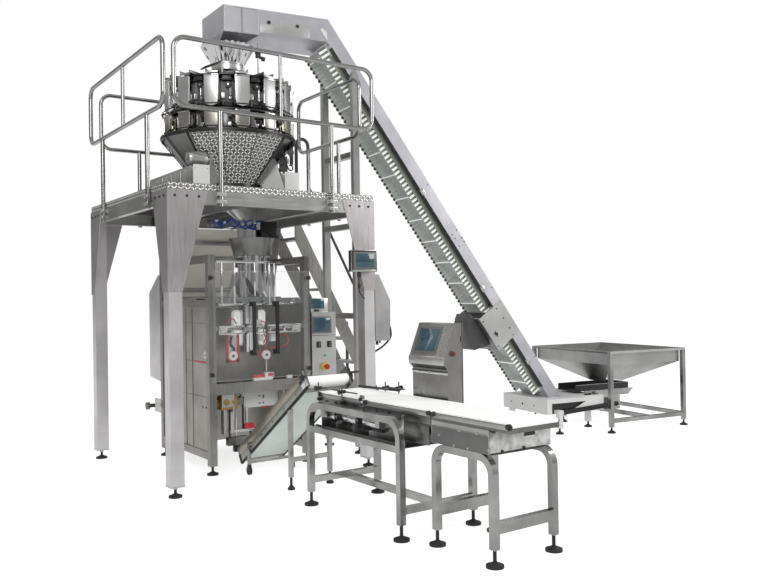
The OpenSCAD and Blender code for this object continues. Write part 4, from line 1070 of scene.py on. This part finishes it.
# %% Drive housing
drive_start, drive_end = 3094, 3474
drive_low = -321
hood_outline = ((drive_start - 61, drive_low + 1), (drive_end - 59, drive_low + 1),
    (drive_end - 129, drive_low - 172), (drive_start + 19, drive_low - 112))
hood = moved([plate_of(hood_outline, 264, dark_paint)], at(0, 132, 0) @ FACING_FRONT)
hood += blocks(dark_steel, (drive_start + 2, -223, drive_low - 3, drive_end - 2, 223, drive_low))
hood += blocks(black_paint, (drive_start - 3, -222, drive_low + 12, drive_start, 222, drive_low + 96))
piece("drive_hood", moved(hood, slope_frame))
drive = [block((drive_start - 8, -225, z), (drive_start, 225, z + 7), pale_steel)
    for z in (drive_low, drive_low + 96)]
bolts_at = ((3128, -101), (3252, -91), (3373, -90), (3456, -96), (3140, -300), (3440, -300))
drive += bolts([(s, -233, t) for s, t in bolts_at], (0, -1, 0), 6)
drive += [block((3300, -235, -258), (3362, -233, -242), black_paint),
    stub((3325, -233, -250), -17, "Y", 13, black_paint), stub((3352, -233, -250), -9, "Y", 6, steel)]
piece("drive_fittings", moved(drive, slope_frame))

# %% [markdown]
# The boot is a low white base. Its end face has three holes, its side an open bay with a
# folded wedge plate, and a ribbed hose runs along the floor side. The hose is a thin core with
# a row of short rings on it, which looks the same as a corrugated tube and takes fewer faces.

# %% Boot
boot_x, boot_end = 3071, 3791
wedge = [plate_of(((3330, 200), (3735, 196), (3735, 300), (3600, 316)), 4, white_paint)]
boot = moved(wedge, at(0, -371, 0) @ FACING_FRONT)
boot += [stub((boot_x - 1, v, z), 1.5, "X", r, black_paint)
    for v, r, z in ((230, 9, 266), (36, 13, 264), (-160, 9, 266))]
boot += blocks(black_paint, (boot_x + 62, -354, 196, boot_end - 62, -352, 298),
    (3600, -340, 352, 3635, -300, 366))
boot += blocks(dark_steel, (3700, -345, 352, 3716, -300, 384),
    (boot_x + 210, -370, 196, boot_x + 330, -365, 222))
boot += [block((3560, -372, 345), (3785, -180, 352), white_paint),
    stub((3660, -320, 352), 20, "Z", 14, black_paint),
    rod((3745, -340, 352), (3745, -300, 360), 10, dark_steel)]
piece("boot_fittings", moved(boot, line_frame), edge=0.6)
hose_slope = 0.06
hose = [rod((3255, -385, 206), (3970, -385, 249), 19, dark_paint)]
for u in range(3260, 3960, 15):
    z = 208 + (u - 3280) * hose_slope
    hose.append(rod((u, -385, z), (u + 9, -385, z + 9 * hose_slope), 24, rubber))
piece("ribbed_hose", moved(hose, line_frame), edge=0)

# %% [markdown]
# The hopper's folded flange shows brighter than its walls, so thin lips are laid on its rim:
# the pale lips on its sides and far end are painted highlight, and the dark lip on its near end
# is painted shade. The feeder pan hangs below it on springs, over a vibrator with a small box.

# %% Hopper and feeder
rim_x, rim_end, rim_half, rim_z = 3651, 4671, 640, 810
rim_low = rim_z - 22
# Pale lips: painted highlight on the flange. Dark lip on the near end: painted shade.
lips = on_both_sides(rim_half - 3, rim_half, rim_x, rim_end, rim_low, rim_z, pale_steel)
lips += blocks(pale_steel, (rim_end - 3, -rim_half, rim_low, rim_end, rim_half, rim_z))
lips += blocks(dark_steel, (rim_x, -rim_half, rim_low, rim_x + 3, rim_half, rim_z))
piece("hopper_lips", moved(lips, line_frame), edge=0.5)
pan_start, pan_end, pan_half = 3621, 4341, 145
cradle = [plate_of(((3740, 300), (4330, 300), (4400, 365), (3720, 365)), 6, steel)]
feeder = moved(cradle, at(0, -150, 0) @ FACING_FRONT)
feeder += on_both_sides(pan_half - 3, pan_half + 3, pan_start, pan_end, 428, 433, steel)
feeder += [spring((u, v, 301), 16, 62, 5, 3, dark_steel) for u in (3990, 4180) for v in (-90, 90)]
feeder += blocks(dark_paint, (4000, -104, 150, 4120, -100, 270))
piece("feeder_fittings", moved(feeder, line_frame), edge=0.5)

# %% [markdown]
# ## Bagger
# Film comes off the roll at the back, runs over the rollers on the two arms, and forward to the
# collar, which folds it round the forming tube. The roll's shaft ends in a dark flange. The two
# bars in front of the collar carry a cage of thin rods. The sleeve round the tube is cut to a
# V, as one half on each side.

# %% Film web and collar
web_low_y, web_high_y, web_drop = 1505, 1050, 580
web_length = math.hypot(web_drop, web_low_y - web_high_y)
web_angle = math.degrees(math.atan2(web_drop, web_low_y - web_high_y))
web = [block((590, 0, 0), (1076, web_length, 2), film_sheet)]
web = moved(web, at(0, web_high_y, 2003) @ turned(-web_angle, "X"))
piece("film_web", web, edge=0)
shaft_end = [stub((393, 1750, 430), 28.5, "X", 33.5, dark_steel, 32),
    stub((421, 1750, 430), 49, "X", 17.5, black_paint, 24)]
piece("film_shaft_end", shaft_end, edge=0.6)
sleeve_x, sleeve_y, sleeve_r, sleeve_z = 940, 660, 150, 1412
sleeve = [ring(1748, 1900, sleeve_r - 2, 3, dark_steel, top=190), ring(1740, 1752, sleeve_r + 6, 8, mirror)]
for side in (-1, 1):
    shell = ring(sleeve_z, 1745, sleeve_r, 3, mirror)
    cut_off(shell, (0, 0, 0), (-side, 0, 0))
    cut_off(shell, (0, -sleeve_r, sleeve_z), (side * 0.75, 0.35, -0.55))
    sleeve.append(shell)
piece("collar_sleeve", moved(sleeve, at(sleeve_x, sleeve_y, 0)), edge=0)
cage = blocks(mirror, (552, 505, 1688, 1142, 525, 1706), (566, 505, 1344, 1240, 520, 1358))
for x, low in ((600, 1358), (712, 1358), (893, 1415), (1027, 1358), (1073, 1358)):
    cage.append(rod((x, 515, low), (x, 515, 1688), 8, mirror, 12))
cage += [stub((545, 515, 1351), 21, "X", 14, dark_steel), stub((1240, 515, 1351), 22, "X", 14, dark_steel)]
piece("collar_cage", cage, edge=0.5)

# %% [markdown]
# The ladder-shaped bar under the cage carries the two belts. Each belt runs over white pulleys
# on a red plate. Small white valve boxes and short red tubes sit between them. A tube is a
# curve through a few points with a round bevel, which bends more softly than joined rods.

# %% Belt drive
ladder = [block((560, 489, low), (1300, 499, low + 14), mirror) for low in (1108, 1166)]
ladder += [block((x, 490, 1108), (x + 14, 498, 1180), mirror)
    for x in (560, 590, 682, 780, 905, 1010, 1145, 1225, 1286)]
ladder += blocks(pale_steel, (572, 484, 1126, 630, 489, 1166), (1232, 484, 1126, 1290, 489, 1166))
piece("ladder_bar", ladder, edge=0.6)
belt_plates = blocks(red, (652, 566, 876, 676, 572, 1106), (748, 566, 876, 772, 572, 1106),
    (652, 566, 876, 772, 572, 905), (960, 590, 900, 1060, 596, 960))
belt_plates += blocks(pale_steel, (676, 568, 905, 748, 572, 1100))
piece("red_plates", belt_plates, edge=0.6)
pulleys = blocks(white_paint, (930, 556, 1176, 976, 596, 1220), (948, 548, 1040, 984, 588, 1094),
    (1052, 548, 1036, 1114, 588, 1098))
for x, z in ((706, 932), (1006, 925)):
    pulleys.append(stub((x, 566, z), -24, "Y", 38, white_paint, 28))
    pulleys.append(stub((x, 544, z), -6, "Y", 11, black_paint))
piece("belt_pulleys", pulleys, edge=1.2)
tubes = [pipe(((700, 560, 1092), (690, 560, 1030), (722, 560, 985), (716, 560, 950)), 9, rubber),
    stub((1004, 545, 900), -140, "Z", 4, white_paint, 8)]
for points in (((965, 560, 1210), (1000, 550, 1190), (985, 552, 1120), (1010, 556, 1050), (1000, 560, 960)),
               ((1000, 556, 1170), (1012, 550, 1100), (985, 556, 1020)),
               ((1110, 556, 1060), (1190, 550, 1090), (1205, 552, 1010), (1120, 560, 985), (1050, 566, 975)),
               ((650, 560, 1190), (700, 552, 1235), (745, 558, 1190))):
    tubes.append(pipe(points, 5, red))
piece("belt_tubes", tubes, edge=0)

# %% [markdown]
# On the beam sit a red and white sensor block, a small sensor and its bracket. Below it a
# white plate covers the front jaw, with dark bolts, and a bronze gearbox drives it. Little of
# this shows behind the doors, so each part is one block or rod with rounded edges.

# %% Beam and jaws
beam_top = 720
seat = beam_top + 26
on_beam = blocks(white_paint, (862, 486, beam_top, 1032, 520, seat), (960, 482, seat, 1040, 518, seat + 36),
    (1168, 486, beam_top, 1216, 516, seat))
on_beam += blocks(red, (862, 482, seat, 960, 518, seat + 24), (985, 478, seat + 8, 1035, 482, seat + 30))
lead = ((1050, 500, beam_top + 8), (1090, 500, seat), (1160, 500, beam_top + 12))
on_beam.append(pipe(lead, 6, black_paint))
piece("beam_sensors", on_beam, edge=0.8)
jaw_plate = blocks(white_paint, (812, 636, 486, 1195, 648, 612))
jaw_plate += blocks(red, (1000, 630, 474, 1060, 640, 486), (560, 600, 604, 640, 640, 618))
for x, z in ((980, 575), (1016, 575), (1016, 560), (980, 515), (1016, 515)):
    jaw_plate.append(stub((x, 636, z), -5, "Y", 7, black_paint, 12))
piece("jaw_plate", jaw_plate)
gear = blocks(bronze, (598, 546, 498, 738, 661, 624), (580, 590, 520, 600, 640, 580))
gear += blocks(dark_steel, (738, 600, 520, 812, 640, 580), (672, 585, 196, 850, 640, 262))
gear += blocks(mirror, (690, 590, 300, 900, 634, 322)) + blocks(red, (820, 584, 322, 905, 630, 362))
gear += blocks(black_paint, (730, 592, 140, 800, 632, 196))
gear += [stub((640, 546, 560), -12, "Y", 26, bronze), stub((705, 546, 560), -10, "Y", 18, bronze)]
for x, y, low, length, radius, material in (
        (716, 612, 300, 200, 27, pale_steel), (690, 598, 230, 270, 8, black_paint),
        (752, 604, 230, 294, 7, mirror), (815, 612, 320, 262, 9, black_paint),
        (850, 612, 320, 170, 12, pale_steel), (880, 607, 240, 60, 9, black_paint)):
    gear.append(stub((x, y, low), length, "Z", radius, material))
piece("jaw_gearbox", gear, edge=1.5)

# %% [markdown]
# The left side is closed by panels. Their seams are thin dark strips laid on the sheet, which
# read as gaps without cutting the node below. Under the deck hang a black valve box and a
# bundle of blue air tubes with white connectors.

# %% Side panels and air tubes
sides = [block((477, 552, z), (480, 1500, z + 5), dark_steel) for z in (610, 889, 1200)]
sides += blocks(dark_steel, (477, 846, 190, 480, 851, 1320)) + blocks(red, (476, 560, 884, 479, 830, 896))
sides += [stub((480, y, 528), -5, "X", 6, black_paint, 12) for y in (577, 645)]
sides.append(stub((480, 577, 949), -4, "X", 30, white_paint, 24))
sides.append(stub((477, 577, 949), -3, "X", 9, black_paint, 12))
piece("side_panel_seams", sides, edge=0.4)
valves = blocks(black_paint, (1020, 640, 1905, 1170, 800, 2050))
valves += blocks(dark_steel, (1060, 790, 2040, 1130, 880, 2075), (640, 800, 2010, 740, 900, 2070))
valves.append(stub((985, 626, 1975), 60, "Z", 18, white_paint))
valves.append(rod((1010, 640, 1990), (1180, 640, 1915), 14, black_paint))
piece("valve_boxes", valves, edge=1.5)
air = []
for points in (
        ((613, 2052), (683, 2020), (743, 2050), (783, 2020)),
        ((583, 2042), (643, 2000), (723, 2040), (753, 2056)),
        ((773, 2054), (823, 1990), (883, 2040), (933, 2056)),
        ((803, 2040), (853, 1980), (913, 2010), (973, 2020)),
        ((843, 2056), (908, 1990), (963, 2042), (1013, 2030)),
        ((563, 2030), (623, 1980), (663, 2020)),
        ((623, 2000), (683, 2040), (763, 1990), (823, 2030)),
        ((863, 2010), (933, 1980), (1003, 2000))):
    air.append(pipe([(x, 618 + 6 * (i % 2), z) for i, (x, z) in enumerate(points)], 6, blue_tube))
for x, z in ((595, 2032), (665, 2020), (828, 2010), (935, 2026)):
    air.append(rod((x, 612, z), (x + 18, 612, z + 8), 10, white_paint, 12))
piece("air_tubes", air, edge=0)

# %% [markdown]
# ## Doors
# The clear doors get bright edges, so that they read as sheets: the edges are a painted glint
# on the acrylic. The handles are bent tubes with a foot at each end, and the hinges are black
# blocks that lap over the posts. What is fixed to a door rides on that door's body, and so
# swings with it.

# %% Door trim
for name in ("left_door", "right_door"):
    door_low, door_high = span(name)
    grip_low, grip_high = span(name.replace("door", "handle"))
    # The rims are a paler, less clear strip on the top and bottom edges: a painted glint along the acrylic's
    # edges.
    rims = [block((door_low.x + 16, 455.4, z), (door_high.x - 16, 464.6, z + 3), clear_film)
        for z in (door_low.z, door_high.z - 3)]
    piece(name + "_rim", rims, body=name, edge=0)
    middle = (grip_low.x + grip_high.x) / 2
    feet = []
    for z in (grip_low.z + 16, grip_high.z - 16):
        feet.append(block((middle - 17, 400, z - 18), (middle + 17, 456, z + 18), plastic))
        feet += bolt((middle, 464, z), (0, 1, 0), 9)
    piece(name + "_handle_feet", feet, body=name, edge=3)
straps = []
for z in (786, 1556):
    straps += blocks(black_paint, (476, 452, z, 504, 456, z + 20), (1356, 452, z, 1384, 456, z + 20))
    straps += bolts([(x, 452, z + 10) for x in (484, 1376)], (0, -1, 0), 5)
piece("hinge_covers", straps, edge=1)

# %% [markdown]
# ## Controls
# The control box carries a screen, two switches, a green button and a stop with a yellow
# collar. A smaller screen stands on top of it, and the weigher's screen hangs on the leg. A
# screen is a glossy dark sheet in a matt frame, so that only the sheet mirrors the room.

# %% Control panels
face = 470
panel = blocks(bezel, (1406, face - 4, 1088, 1598, face, 1232))
panel += blocks(screen, (1420, face - 6, 1102, 1584, face - 3, 1218),
    (1406, face + 10, 1300, 1536, face + 15, 1386))
panel += blocks(pale_steel, (1402, face + 14, 1266, 1572, face + 20, 1390))
panel += blocks(black_paint, (1434, face + 6, 1276, 1482, face + 14, 1292))
panel += [block((1402, face - 3, z), (1642, face, z + 6), dark_steel) for z in (722, 1066)]
panel += blocks(white_paint, (1506, face - 4, 876, 1544, face, 912))
for x in (1469, 1575):
    panel.append(block((x - 21, face - 6, 964), (x + 21, face, 1018), plastic))
    panel.append(block((x - 6, face - 16, 974), (x + 6, face - 6, 1008), bezel))
panel.append(stub((1524, face - 4, 896), -10, "Y", 14, green_knob))
stop_x, stop_z = 1526, 800
for near, length, radius, material, sides in (
        (0, 10, 34, yellow, 28), (10, 24, 15, red, 24), (34, 12, 24, red, 28)):
    panel.append(stub((stop_x, face - near, stop_z), -length, "Y", radius, material, sides))
piece("control_face", panel, edge=1)
display_low, display_high = span("weigher_screen")
front = display_low.y
display = []
for left_in, right_in, foot_up, head_down, proud, back, material in (
        (-4, -4, -2, -4, -1, 12, steel), (14, 8, 22, 12, 3, 1, bezel), (36, 28, 36, 26, 5, -2, screen)):
    display.append(block((display_low.x + left_in, front - proud, display_low.z + foot_up),
        (display_high.x - right_in, front + back, display_high.z - head_down), material))
display += blocks(green_steel, (display_low.x + 6, front - 2, display_low.z,
    display_high.x - 6, front + 1, display_low.z + 16))
piece("screen_face", display, edge=1)
cable = [pipe(((1520, -100, 1602), (1516, -104, 1500), (1530, -84, 1440), (1590, -64, 1384)), 5, rubber),
    rod((1520, -100, 1600), (1519, -101, 1556), 17, rubber),
    rod((1517, -103, 1500), (1516, -103, 1462), 11, rubber)]
piece("screen_cable", cable, edge=0)

# %% [markdown]
# The air cabinet on the leg has a dark seal round its door and two cable glands below. A bent
# black rod at its side runs from the cabinet's back down to a plate on the leg.

# %% Air cabinet
seal = blocks(black_paint, (1852, -50, 1034, 1857, 50, 1368))
seal += blocks(dark_steel, (1730, -52, 1034, 1852, -50, 1037))
seal += [stub((1740, -20, 1030), -34, "Z", 12, black_paint), stub((1775, -10, 1030), -22, "Z", 8, dark_steel)]
piece("air_cabinet_fittings", seal, edge=0.8)
bend = ((1806, 0, 1262), (1829, 0, 1240), (1898, 0, 1086), (1887, 0, 1045), (1690, 0, 920), (1652, 0, 905))
grip = [pipe(bend, 8, black_paint), block((1698, -14, 700), (1724, 14, 895), black_paint)]
piece("cabinet_grip", grip, edge=0.6)

# %% [markdown]
# ## Take-off conveyor
# The inclined conveyor has olive sheets on its sides, black edges, a pale pan under its belt,
# a clamp block and a knob at the head, and black casters under its tail. Its parts are built
# level, with X across the belt and Y along it, and one matrix tilts them all.

# %% Take-off fittings
takeoff_frame = at(740, -590, 830) @ turned(-33, "X")
trim = blocks(rubber, (-1.5, 24, -64, 11, 1318, -46), (349, 24, -64, 361.5, 1318, -46),
    (-3, 1300, -50, 12, 1332, 20), (348, 1300, -50, 363, 1332, 20))
sides = blocks(olive, (-2, 40, 8, -0.2, 1298, 73), (360.2, 40, -44, 362, 1298, 73))
sides += blocks(green_steel, (-2, 40, -44, -0.2, 1298, 6))
sides += blocks(green_belt, (10.5, 108, -59, 349.5, 1220, -56))
head = blocks(mirror, (-14, 4, -50, 0, 78, 66)) + blocks(dark_steel, (-18, 14, -10, -14, 66, 24))
head += blocks(black_paint, (-24, 60, -4, -4, 84, 14), (360, -6, -56, 374, 74, 60),
    (362, -30, 4, 430, -14, 16))
head += [stub((-34, 20, 16), 32, "X", 20, black_paint), stub((-14, 20, -6), 22, "Z", 8, black_paint),
    stub((374, 30, 10), 18, "X", 24, black_paint)]
head += bolts([(-2, y, -20) for y in range(200, 1100, 220)], (-1, 0, 0), 5, black_paint)
piece("takeoff_trim", moved(trim, takeoff_frame), edge=0.5)
piece("takeoff_sides", moved(sides, takeoff_frame), edge=0.4)
piece("takeoff_head", moved(head, takeoff_frame), edge=1)
caster_y = 325
casters = []
for x in (720, 1101):
    casters.append(stub((x - 0.5, caster_y, 36), 20, "X", 36, rubber, 32))
    casters.append(stub((x - 3, caster_y, 36), 25, "X", 10, black_paint, 12))
    casters.append(block((x - 2, caster_y - 17, 46), (x + 21, caster_y + 17, 84), black_paint))
piece("caster_wheels", casters, edge=1)

# %% [markdown]
# ## Checkweigher
# Three belts follow one another. Each bed has a slotted side rail with screws and a dark
# roller at each end. A shelf of folded sheet lies in the stand below them, with the motors.

# %% Beds, rollers and motors
bed_low, bed_high = span("checkweigher_bed")
left, right = bed_low.x, bed_high.x
splits = (-720, -1284, -1960.8, -2600)
rails = []
marks = []
for start, end in zip(splits[:-1], splits[1:]):
    rails += blocks(steel_away, (left - 3, end + 12, 716, left, start - 12, 744),
        (right, end + 12, 716, right + 3, start - 12, 744))
    for y in (start - 22, end + 22):
        marks.append(rod((left - 9, y, 734), (right + 9, y, 734), 14, black_paint, 24))
    for step in range(1, 5):
        y = start + (end - start) * step / 5
        marks.append(block((left - 4.5, y - 16, 690), (left, y + 16, 700), black_paint))
        marks += bolt((left, y + 40, 672), (-1, 0, 0), 5, dark_steel)
piece("bed_rails", rails, edge=1)
piece("bed_rollers", marks, edge=0.5)
weigh_box = [block((left - 6, -1948, 552), (left, -1700, 668), dark_steel),
    block((left - 8, -1712, 600), (left - 2, -1690, 700), pale_steel)]
piece("weigh_box", weigh_box, edge=1)
motors = blocks(white_paint, (740, -880, 580, 790, -770, 650))
for y, length in ((-890, 110), (-1100, 150), (-1330, 170)):
    motors.append(stub((760, y, 616), -length, "Y", 52, mirror, 32))
    motors.append(stub((760, y - length, 616), -14, "Y", 42, dark_steel, 32))
piece("belt_motors", motors, edge=1.5)
stand_low, stand_high = span("checkweigher_stand")
shelf_in, shelf_out = stand_low.x + 39, stand_high.x - 39
shelf_y, shelf_end = stand_low.y + 60, stand_high.y - 60
shelf = blocks(dark_steel, (shelf_in, shelf_y, 512, shelf_out, shelf_end, 516),
    (shelf_in, shelf_y, 512, shelf_in + 3, shelf_end, 548),
    (shelf_out - 3, shelf_y, 512, shelf_out, shelf_end, 548))
shelf += [block((shelf_in, y, 516), (shelf_in + 120, y + 3, 600), dark_steel) for y in (-900, -1090, -1280)]
piece("stand_shelf", shelf, edge=0.4)

# %% [markdown]
# Guide rods keep the bags on the belt. Each stands on a clamp at the side of the bed and holds
# a rod along it. The posts differ only in place and height, so a function makes them.

# %% Guide rods


def guide_post(x, y, low, top, reach, out=1):
    """An upright rod with a cross clamp, which holds a rod along the belt."""
    arm = top - 42
    return [stub((x, y, low), top - low, "Z", 5, dark_steel, 12), stub((x, y, low), 9, "Z", 13, black_paint),
        rod((x - 16 * out, y, arm), (x + 26 * out, y, arm), 12, black_paint, 12),
        rod((x + 20 * out, y - reach, arm), (x + 20 * out, y + reach, arm), 5, dark_steel, 12),
        rod((x - 26 * out, y, arm), (x - 16 * out, y, arm), 17, black_paint, 12)]


guides = [rod((right + 6, -690, 757), (right + 6, -1180, 768), 9, black_paint),
    stub((left - 34, -1284, 752), 32, "X", 12, black_paint),
    block((left - 22, -1300, 706), (left - 4, -1268, 776), mirror)]
for y, low, top, reach in ((-744, 700, 818, 90), (-1044, 706, 818, 150)):
    guides += guide_post(left - 12, y, low, top, reach)
    guides += blocks(black_paint, (left - 20, y - 12, 692, left, y + 12, 706))
for y, top, reach in ((-1165, 824, 90), (-1010, 812, 70)):
    guides += guide_post(right + 12, y, 706, top, reach, -1)
    guides += blocks(black_paint, (right, y - 12, 692, right + 20, y + 12, 706))
piece("guide_rods", guides, edge=0.6)

# %% [markdown]
# The last belt lies on the reject box. Its side is a plain sheet with screws and a folded top,
# and its front end is a brighter, mottled plate with a cable slot. Holes in sheet this thin
# are laid on as black shapes, because cutting them would change the node.

# %% Reject box
box_low, box_high = span("reject_box")
end_y = box_low.y
fold_z = box_high.z - 34
side = blocks(bezel, (box_low.x - 2, end_y + 6, box_low.z + 2, box_low.x, box_high.y - 6, fold_z))
fold_outline = [(end_y + 6, 0), (box_high.y - 6, 0), (box_high.y - 12, 40), (end_y + 30, 40)]
fold = [plate_of(fold_outline, 3, steel_away)]
side += moved(fold, at(box_low.x - 3, 0, fold_z) @ turned(22, "Y") @ at(0, 0, 0, FACING_RIGHT) @ at(0, 0, -1))
screws = ((-2040, 628), (-2210, 672), (-2354, 674), (-2168, 585), (-2278, 585), (-2440, 600))
side += bolts([(box_low.x - 2, y, z) for y, z in screws], (-1, 0, 0), 6, pale_steel)
piece("reject_side", side, edge=0.8)
end_plate = blocks(mottled, (box_low.x + 4, end_y - 3, box_low.z + 4, box_high.x - 2, end_y, box_high.z - 8))
piece("reject_end", end_plate, edge=0.8)
slots = blocks(black_paint, (910, end_y - 5, 668, 960, end_y - 2, 676),
    (box_low.x + 10, end_y - 6, box_low.z - 4, box_high.x - 40, end_y - 1, box_low.z + 3),
    (box_low.x + 6, end_y - 4, box_high.z - 8, box_high.x - 90, end_y + 2, box_high.z + 4))
slots += [stub((x, end_y - 3, box_low.z + 8), -6, "Y", 8, black_paint, 12) for x in (840, 1000)]
arch_angles = [math.pi * i / 12 for i in range(13)]
arch = [plate_of([(42 * math.cos(angle), 46 * math.sin(angle)) for angle in arch_angles], 3, black_paint)]
slots += moved(arch, at(1042, end_y - 2, 644) @ FACING_FRONT)
piece("reject_slots", slots, edge=0)
nose = [rod((left + 10, -2588, 737), (right - 10, -2588, 737), 13, white_belt, 24),
    stub((left - 4, -2586, 732), 12, "X", 17, rubber, 24)]
piece("belt_nose", nose, edge=0)

# %% [markdown]
# The console leans its screen back on a sloped face. A folded lip and a bright strip run under
# it, and a dark red button sits on the side. The face's parts are drawn flat and then leaned.

# %% Console
side_y = -1640
sloped = at(1120, -1280, 1000) @ turned(22.25, "Y") @ FACING_LEFT
console = blocks(bezel, (28, 26, 0, 262, 212, 3)) + blocks(screen, (44, 46, 2, 246, 196, 5))
console += blocks(steel, (0, 228, 0, 360, 237, 3)) + blocks(pale_steel, (0, 0, 0, 360, 12, 4))
moved(console, sloped)
console += blocks(pale_steel, (1117, side_y, 958, 1120, -1280, 1002))
console += blocks(mirror, (1146, side_y, 898, 1150, -1280, 914))
console += blocks(black_paint, (1144, side_y, 914, 1150, -1280, 920),
    (1256, side_y - 2, 1100, 1262, side_y, 1140))
console += blocks(dark_steel, (1270, side_y - 3, 706, 1275, side_y, 1216))
console += [stub((1188, side_y, 1030), -6, "Y", 20, dark_steel, 24),
    stub((1188, side_y - 6, 1030), -10, "Y", 15, dark_red, 24)]
console += [stub((1142, y, 718), 8, "X", 12, black_paint, 12) for y in (-1330, -1440, -1560)]
piece("console_face", console, edge=0.8)
